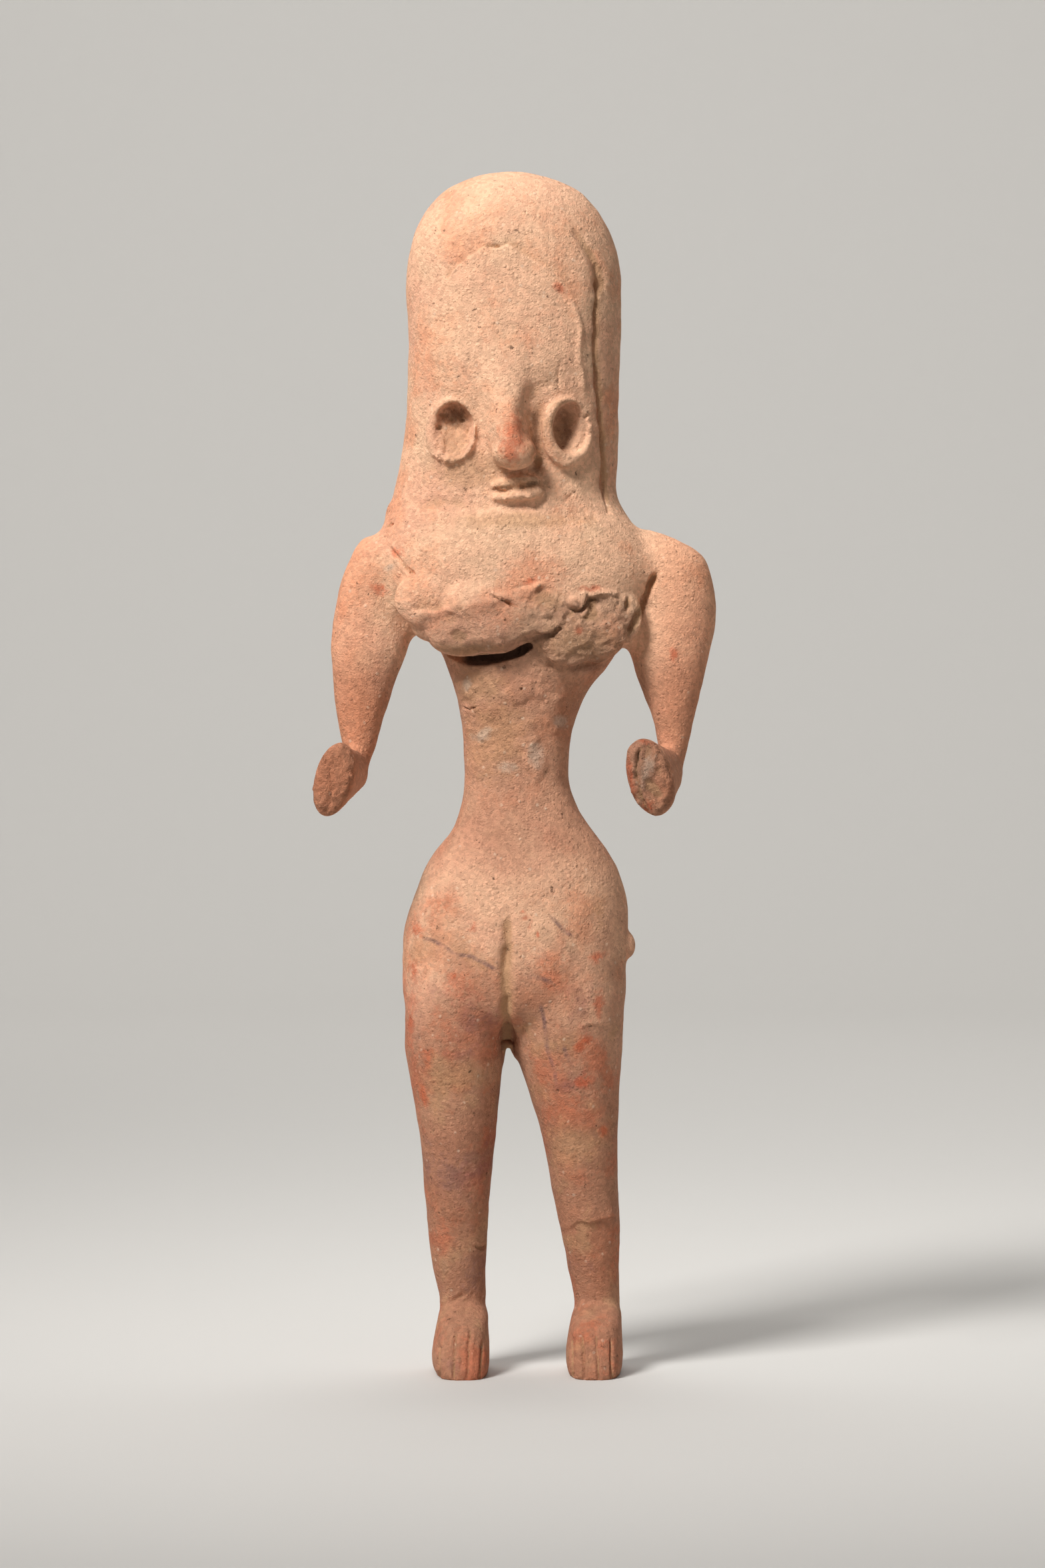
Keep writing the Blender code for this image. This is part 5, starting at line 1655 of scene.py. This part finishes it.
@dataclass(frozen=True)
class FiredClay:
    """The finish: sandy orange clay, buff earth and painted shade in its hollows, remains of red slip, and dark lines
    of roots.

    Sizes of patterns are counts per metre, and heights and distances are metres.

    Attributes:
        patches: What mottles the clay all over: count per metre, from, to, most, shift of the pattern, tone.
        leg_patches: The same for the lower legs.
        marks: What is kept on the points: its name, from, to, most, tone.
        brown_from: Below what height the legs turn brown, and where they are fully so.
        patched_from: The same for the patches on the lower legs.
        waist: From where to where the darker waist begins, and from where to where it ends.
        arm_edge: From where to where, across, the arms turn more orange.
        root_width: Where a root's line begins to show, and where it is full.
        grains_per_metre: How fine the sand is.
    """

    tan: tuple = tone(228, 179, 145)
    pink: tuple = tone(218, 160, 130)
    orange: tuple = tone(212, 136, 98)
    buff: tuple = tone(218, 178, 144)
    brown: tuple = tone(156, 102, 76)
    slip: tuple = tone(192, 94, 60)
    # The earth tone: sandy earth, and painted shade in hollows and shadowed places.
    earth_and_shade: tuple = tone(182, 140, 104)
    # The dark tone: painted shade in the deepest places and in the gap under the band, and the sand's pits.
    dark: tuple = tone(70, 44, 30)
    purple: tuple = tone(112, 84, 84)
    grey: tuple = tone(192, 172, 152)
    pale: tuple = tone(240, 216, 190)
    patches: tuple = (
        (38.0, 0.40, 0.66, 0.75, 0.0, "pink"), (75.0, 0.50, 0.70, 0.60, 3.0, "buff"),
        (58.0, 0.47, 0.70, 0.55, 7.0, "orange"),
    )
    leg_patches: tuple = (
        (62.0, 0.50, 0.66, 0.40, 11.0, "slip"), (85.0, 0.54, 0.68, 0.55, 17.0, "earth_and_shade"),
        (48.0, 0.57, 0.70, 0.45, 23.0, "purple"),
    )
    # The earth tone here is earth and painted shade; the dark tone here is painted shade.
    marks: tuple = (
        ("earth_and_shade", 0.25, 0.85, 0.60, "earth_and_shade"), ("painted_shade", 0.30, 0.95, 0.55, "dark"),
        ("grey", 0.40, 0.85, 0.50, "grey"), ("slip", 0.38, 0.95, 0.70, "slip"),
    )
    brown_from: tuple[float, float] = (0.130, 0.060)
    patched_from: tuple[float, float] = (0.122, 0.095)
    waist: tuple[float, float, float, float] = (0.108, 0.128, 0.170, 0.160)
    arm_edge: tuple[float, float] = (0.028, 0.037)
    root_width: tuple[float, float] = (0.00075, 0.00015)
    grains_per_metre: float = 2300.0

    def material(self) -> bpy.types.Material:
        """Builds the material.

        Returns:
            The finished material.
        """
        made = bpy.data.materials.new("terracotta")
        made.use_nodes = True
        shader = made.node_tree.nodes["Principled BSDF"]
        graph = Graph(made.node_tree)
        place = graph.node("ShaderNodeTexCoord").outputs["Object"]
        grain = graph.node("ShaderNodeGroup", node_tree=sand_grain())
        made.node_tree.links.new(place, grain.inputs[0])
        grain.inputs[1].default_value = self.grains_per_metre
        speckle = graph.noise(place, 900.0, 4.0, 0.75)
        coarse = graph.noise(place, 240.0, 4.0, 0.7)
        colour = self.fired(graph, place, speckle, coarse)
        colour = self.stained(graph, colour, speckle, coarse)
        colour = self.grained(graph, colour, speckle, grain)
        roughness = graph.ramp(graph.noise(place, 90.0), 0.3, 0.7, 0.82, 0.96)
        normal = self.relief(graph, place, coarse, grain)
        for name, value in (("Base Color", colour), ("Roughness", roughness), ("Normal", normal)):
            made.node_tree.links.new(value, shader.inputs[name])
        shader.inputs["Specular IOR Level"].default_value = 0.25
        return made

    def fired(self, graph: Graph, place: object, speckle: object, coarse: object) -> object:
        """The clay's own colour: mottled by ragged patches, browner low on the legs, at the waist and where torn.

        Args:
            graph: The material's nodes.
            place: Where a point is.
            speckle: Fine noise.
            coarse: Coarser noise.

        Returns:
            The colour.
        """

        def patch(size: float, low: float, high: float, most: float, shift: float) -> object:
            """Ragged patches of a size, with grainy edges."""
            moved = graph.node("ShaderNodeVectorMath", in_0=place, in_1=(shift, shift, shift)).outputs[0]
            grainy = graph.math("ADD", graph.noise(moved, size), graph.ramp(speckle, 0.25, 0.75, -0.05, 0.05))
            edge = graph.math("ADD", grainy, graph.ramp(coarse, 0.3, 0.7, -0.04, 0.04))
            return graph.ramp(edge, low, high, 0.0, most)

        across, _, height = graph.node("ShaderNodeSeparateXYZ", Vector=place).outputs
        colour = self.tan
        for *form, over in self.patches:
            colour = graph.mix(patch(*form), colour, getattr(self, over))
        uneven = graph.math("ADD", height, graph.ramp(graph.noise(place, 34.0), 0.3, 0.7, -0.02, 0.02))
        colour = graph.mix(graph.ramp(uneven, *self.brown_from, 0.0, 0.80), colour, self.brown)
        legs = graph.ramp(uneven, *self.patched_from)
        for *form, over in self.leg_patches:
            colour = graph.mix(graph.math("MULTIPLY", legs, patch(*form)), colour, getattr(self, over))
        waist = graph.math("MULTIPLY", graph.ramp(height, *self.waist[:2]), graph.ramp(height, *self.waist[2:]))
        colour = graph.mix(graph.math("MULTIPLY", waist, 0.55), colour, self.brown)
        colour = graph.mix(graph.math("MULTIPLY", graph.attribute("torn"), 0.22), colour, self.brown)
        aside = graph.math("ABSOLUTE", across)
        return graph.mix(graph.ramp(aside, *self.arm_edge, 0.0, 0.38), colour, self.orange)

    def stained(self, graph: Graph, colour: object, speckle: object, coarse: object) -> object:
        """Earth and painted shade, more painted shade in the darkest places, grey patches, red slip and the roots'
        broken lines over the clay's own colour.

        Args:
            graph: The material's nodes.
            colour: The clay's own colour.
            speckle: Fine noise.
            coarse: Coarser noise.

        Returns:
            The colour.
        """
        ragged = graph.math(
            "ADD", graph.ramp(coarse, 0.3, 0.7, -0.16, 0.16), graph.ramp(speckle, 0.3, 0.7, -0.10, 0.10))
        for name, low, high, most, over in self.marks:
            kept = graph.attribute(name)
            edge = graph.math("ADD", kept, graph.math("MULTIPLY", ragged, graph.ramp(kept, 0.0, 0.2)))
            colour = graph.mix(graph.ramp(edge, low, high, 0.0, most), colour, getattr(self, over))
        line = graph.math("ABSOLUTE", graph.attribute("root_away"))
        line = graph.math("MULTIPLY", graph.ramp(line, *self.root_width), graph.attribute("root_close"))
        broken = graph.ramp(coarse, 0.35, 0.60, 0.12, 0.70)
        return graph.mix(graph.math("MULTIPLY", line, broken), colour, self.purple)

    def grained(self, graph: Graph, colour: object, speckle: object, grain: bpy.types.Node) -> object:
        """Shades each sand grain, paints the earth tone into hollows as earth and painted shade, darkens pits, paints
        shade under the band.

        Args:
            graph: The material's nodes.
            colour: The stained colour.
            speckle: Fine noise.
            grain: The sand grain group.

        Returns:
            The colour.
        """
        value = graph.math(
            "MULTIPLY", graph.ramp(speckle, 0.28, 0.72, 0.90, 1.09),
            graph.ramp(grain.outputs["Shade"], 0.0, 1.0, 0.88, 1.10))
        colour = graph.node("ShaderNodeHueSaturation", Value=value, Color=colour).outputs[0]
        # Earth and painted shade: the carved hollows take the earth tone by their depth.
        colour = graph.mix(graph.ramp(graph.attribute("hollow"), 0.2, 1.0, 0.0, 0.8), colour, self.earth_and_shade)
        colour = graph.mix(graph.math("MULTIPLY", grain.outputs["Pits"], 0.7), colour, self.dark)
        colour = graph.mix(graph.math("MULTIPLY", grain.outputs["Grains"], 0.30), colour, self.pale)
        # Painted shade: the gap under the band is darkened in colour.
        return graph.mix(graph.math("MULTIPLY", graph.attribute("deep"), 0.85), colour, self.dark)

    def relief(self, graph: Graph, place: object, coarse: object, grain: bpy.types.Node) -> object:
        """Three bumps, one over the other: sand, torn clay where the points say so, and broad unevenness.

        Args:
            graph: The material's nodes.
            place: Where a point is.
            coarse: Coarser noise.
            grain: The sand grain group.

        Returns:
            The normal.
        """
        torn = graph.math("MULTIPLY", graph.noise(place, 620.0, 5.0, 0.75), graph.attribute("torn"))
        sandy = graph.node("ShaderNodeBump", Strength=0.75, Distance=0.00026, Height=grain.outputs["Height"])
        torn = graph.node("ShaderNodeBump", Strength=1.0, Distance=0.0014, Height=torn, Normal=sandy.outputs[0])
        broad = graph.node("ShaderNodeBump", Strength=0.4, Distance=0.0007, Height=coarse, Normal=torn.outputs[0])
        return broad.outputs[0]


# The studio


@dataclass(frozen=True)
class Lamp:
    """A soft square light.

    Attributes:
        name: Its name.
        place: Where it stands.
        size: Its side.
        power: Its power in watts.
        aim: What it points at.
        spread: How wide its beam is, in degrees.
    """

    name: str
    place: tuple[float, float, float]
    size: float
    power: float
    aim: tuple[float, float, float]
    spread: float

    def build(self) -> None:
        """Puts the lamp into the scene, turned from straight down towards what it points at."""
        lamp = bpy.data.lights.new(self.name, "AREA")
        lamp.size, lamp.energy, lamp.spread = self.size, self.power, math.radians(self.spread)
        obj = bpy.data.objects.new(self.name, lamp)
        obj.location = self.place
        toward = np.array(self.aim) - np.array(self.place)
        obj.rotation_euler = (
            math.atan2(math.hypot(toward[0], toward[1]), -toward[2]), 0.0, math.atan2(-toward[0], toward[1]))
        bpy.context.scene.collection.objects.link(obj)


@dataclass(frozen=True)
class Studio:
    """A pale floor that turns up into a round wall, soft lights, and the camera at the figure's own height.

    Attributes:
        floor_radius: Where the floor begins to turn up.
        wall_radius: Where the wall stands.
        wall_height: How high it goes.
        around: Points round floor and wall.
        paper_tone: Colour of the paper on both.
        lamps: The key and fill on the figure, and four lamps on the wall.
        glow: Strength of the even light from all sides.
        distance: How far in front the camera stands.
        camera_x: Where it stands across.
        camera_z: How high it stands.
        lens: Its focal length in millimetres.
    """

    floor_radius: float = 1.5
    wall_radius: float = 2.5
    wall_height: float = 1.9
    around: int = 96
    paper_tone: tuple = tone(205, 202, 197)
    lamps: tuple[Lamp, ...] = (
        Lamp("key", (-0.50, -0.64, 0.95), 0.32, 1.50, (0.0, 0.0, 0.20), 50.0),
        Lamp("fill", (0.9, -1.6, 0.40), 0.9, 0.40, (0.0, 0.0, 0.14), 60.0),
        Lamp("backdrop", (0.0, 0.8, 1.9), 1.4, 24.0, (0.0, 1.9, 0.0), 150.0),
        Lamp("wall_left", (-0.8, 0.0, 1.9), 1.0, 4.0, (-2.6, 0.0, 0.4), 40.0),
        Lamp("wall_right", (0.8, 0.0, 1.9), 1.0, 4.0, (2.6, 0.0, 0.4), 40.0),
        Lamp("wall_front", (0.0, -0.8, 1.9), 1.0, 4.0, (0.0, -2.6, 0.4), 40.0),
    )
    glow: float = 0.05
    distance: float = 0.949
    camera_x: float = 0.0014
    camera_z: float = 0.1370
    lens: float = 93.4

    def build(self) -> None:
        """Makes everything that stands around the figure."""
        self.floor()
        for lamp in self.lamps:
            lamp.build()
        self.world()
        self.camera()

    def floor(self) -> None:
        """The floor and wall: a flat disc that turns up through a quarter of an ellipse, turned round the axis."""
        bend = np.linspace(0, np.pi / 2, 24)
        turned_up = self.floor_radius + (self.wall_radius - self.floor_radius) * np.sin(bend)
        radius = np.concatenate([[0.5, 1.0], turned_up])
        height = np.concatenate([[0.0, 0.0], self.wall_height * (1 - np.cos(bend))])
        turn = full_turn(self.around)[None, :]
        grid = np.stack(
            [radius[:, None] * np.cos(turn), radius[:, None] * np.sin(turn), height[:, None] + 0 * turn], axis=-1)
        centre = grid.shape[0] * self.around
        number = np.arange(centre).reshape(-1, self.around)
        beside = np.roll(number, -1, axis=1)
        quads = np.stack([number[:-1], number[1:], beside[1:], beside[:-1]], axis=-1).reshape(-1, 4)
        fan = np.stack([np.full(self.around, centre), number[0], beside[0]], axis=-1)
        mesh = bpy.data.meshes.new("studio_floor")
        mesh.from_pydata(np.vstack([grid.reshape(-1, 3), [0.0, 0.0, 0.0]]).tolist(), [], quads.tolist() + fan.tolist())
        mesh.shade_smooth()
        mesh.materials.append(self.paper())
        placed("studio_floor", mesh)

    def paper(self) -> bpy.types.Material:
        """Plain pale paper."""
        made = bpy.data.materials.new("studio_paper")
        made.use_nodes = True
        shader = made.node_tree.nodes["Principled BSDF"]
        shader.inputs["Base Color"].default_value = self.paper_tone
        shader.inputs["Roughness"].default_value = 0.75
        return made

    def world(self) -> None:
        """A faint even light from all sides."""
        world = bpy.data.worlds.new("studio_world")
        world.use_nodes = True
        background = world.node_tree.nodes["Background"]
        background.inputs["Color"].default_value = (1.0, 1.0, 1.0, 1.0)
        background.inputs["Strength"].default_value = self.glow
        bpy.context.scene.world = world
        bpy.context.scene.view_settings.view_transform = "Standard"

    def camera(self) -> None:
        """The camera: level, straight in front, near half the figure's height."""
        camera = bpy.data.cameras.new("camera")
        camera.lens = self.lens
        obj = bpy.data.objects.new("camera", camera)
        obj.location = (self.camera_x, -self.distance, self.camera_z)
        obj.rotation_euler = (math.radians(90), 0.0, 0.0)
        bpy.context.scene.collection.objects.link(obj)
        bpy.context.scene.camera = obj


def main() -> None:
    """Builds the figure, set onto its CAD node's box, and the studio."""
    logging.basicConfig(level=logging.INFO, format="%(name)s: %(message)s")
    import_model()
    for name in ("Cube", "Light", "Camera"):
        if name in bpy.data.objects:
            bpy.data.objects.remove(bpy.data.objects[name], do_unlink=True)
    figure = Figure().build()
    figure.data.materials.clear()
    figure.data.materials.append(FiredClay().material())
    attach(figure, "root")
    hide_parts(NODE)
    LOG.info("%s: %d points, %d faces", figure.name, len(figure.data.vertices), len(figure.data.polygons))
    Studio().build()


if __name__ == "__main__":
    main()
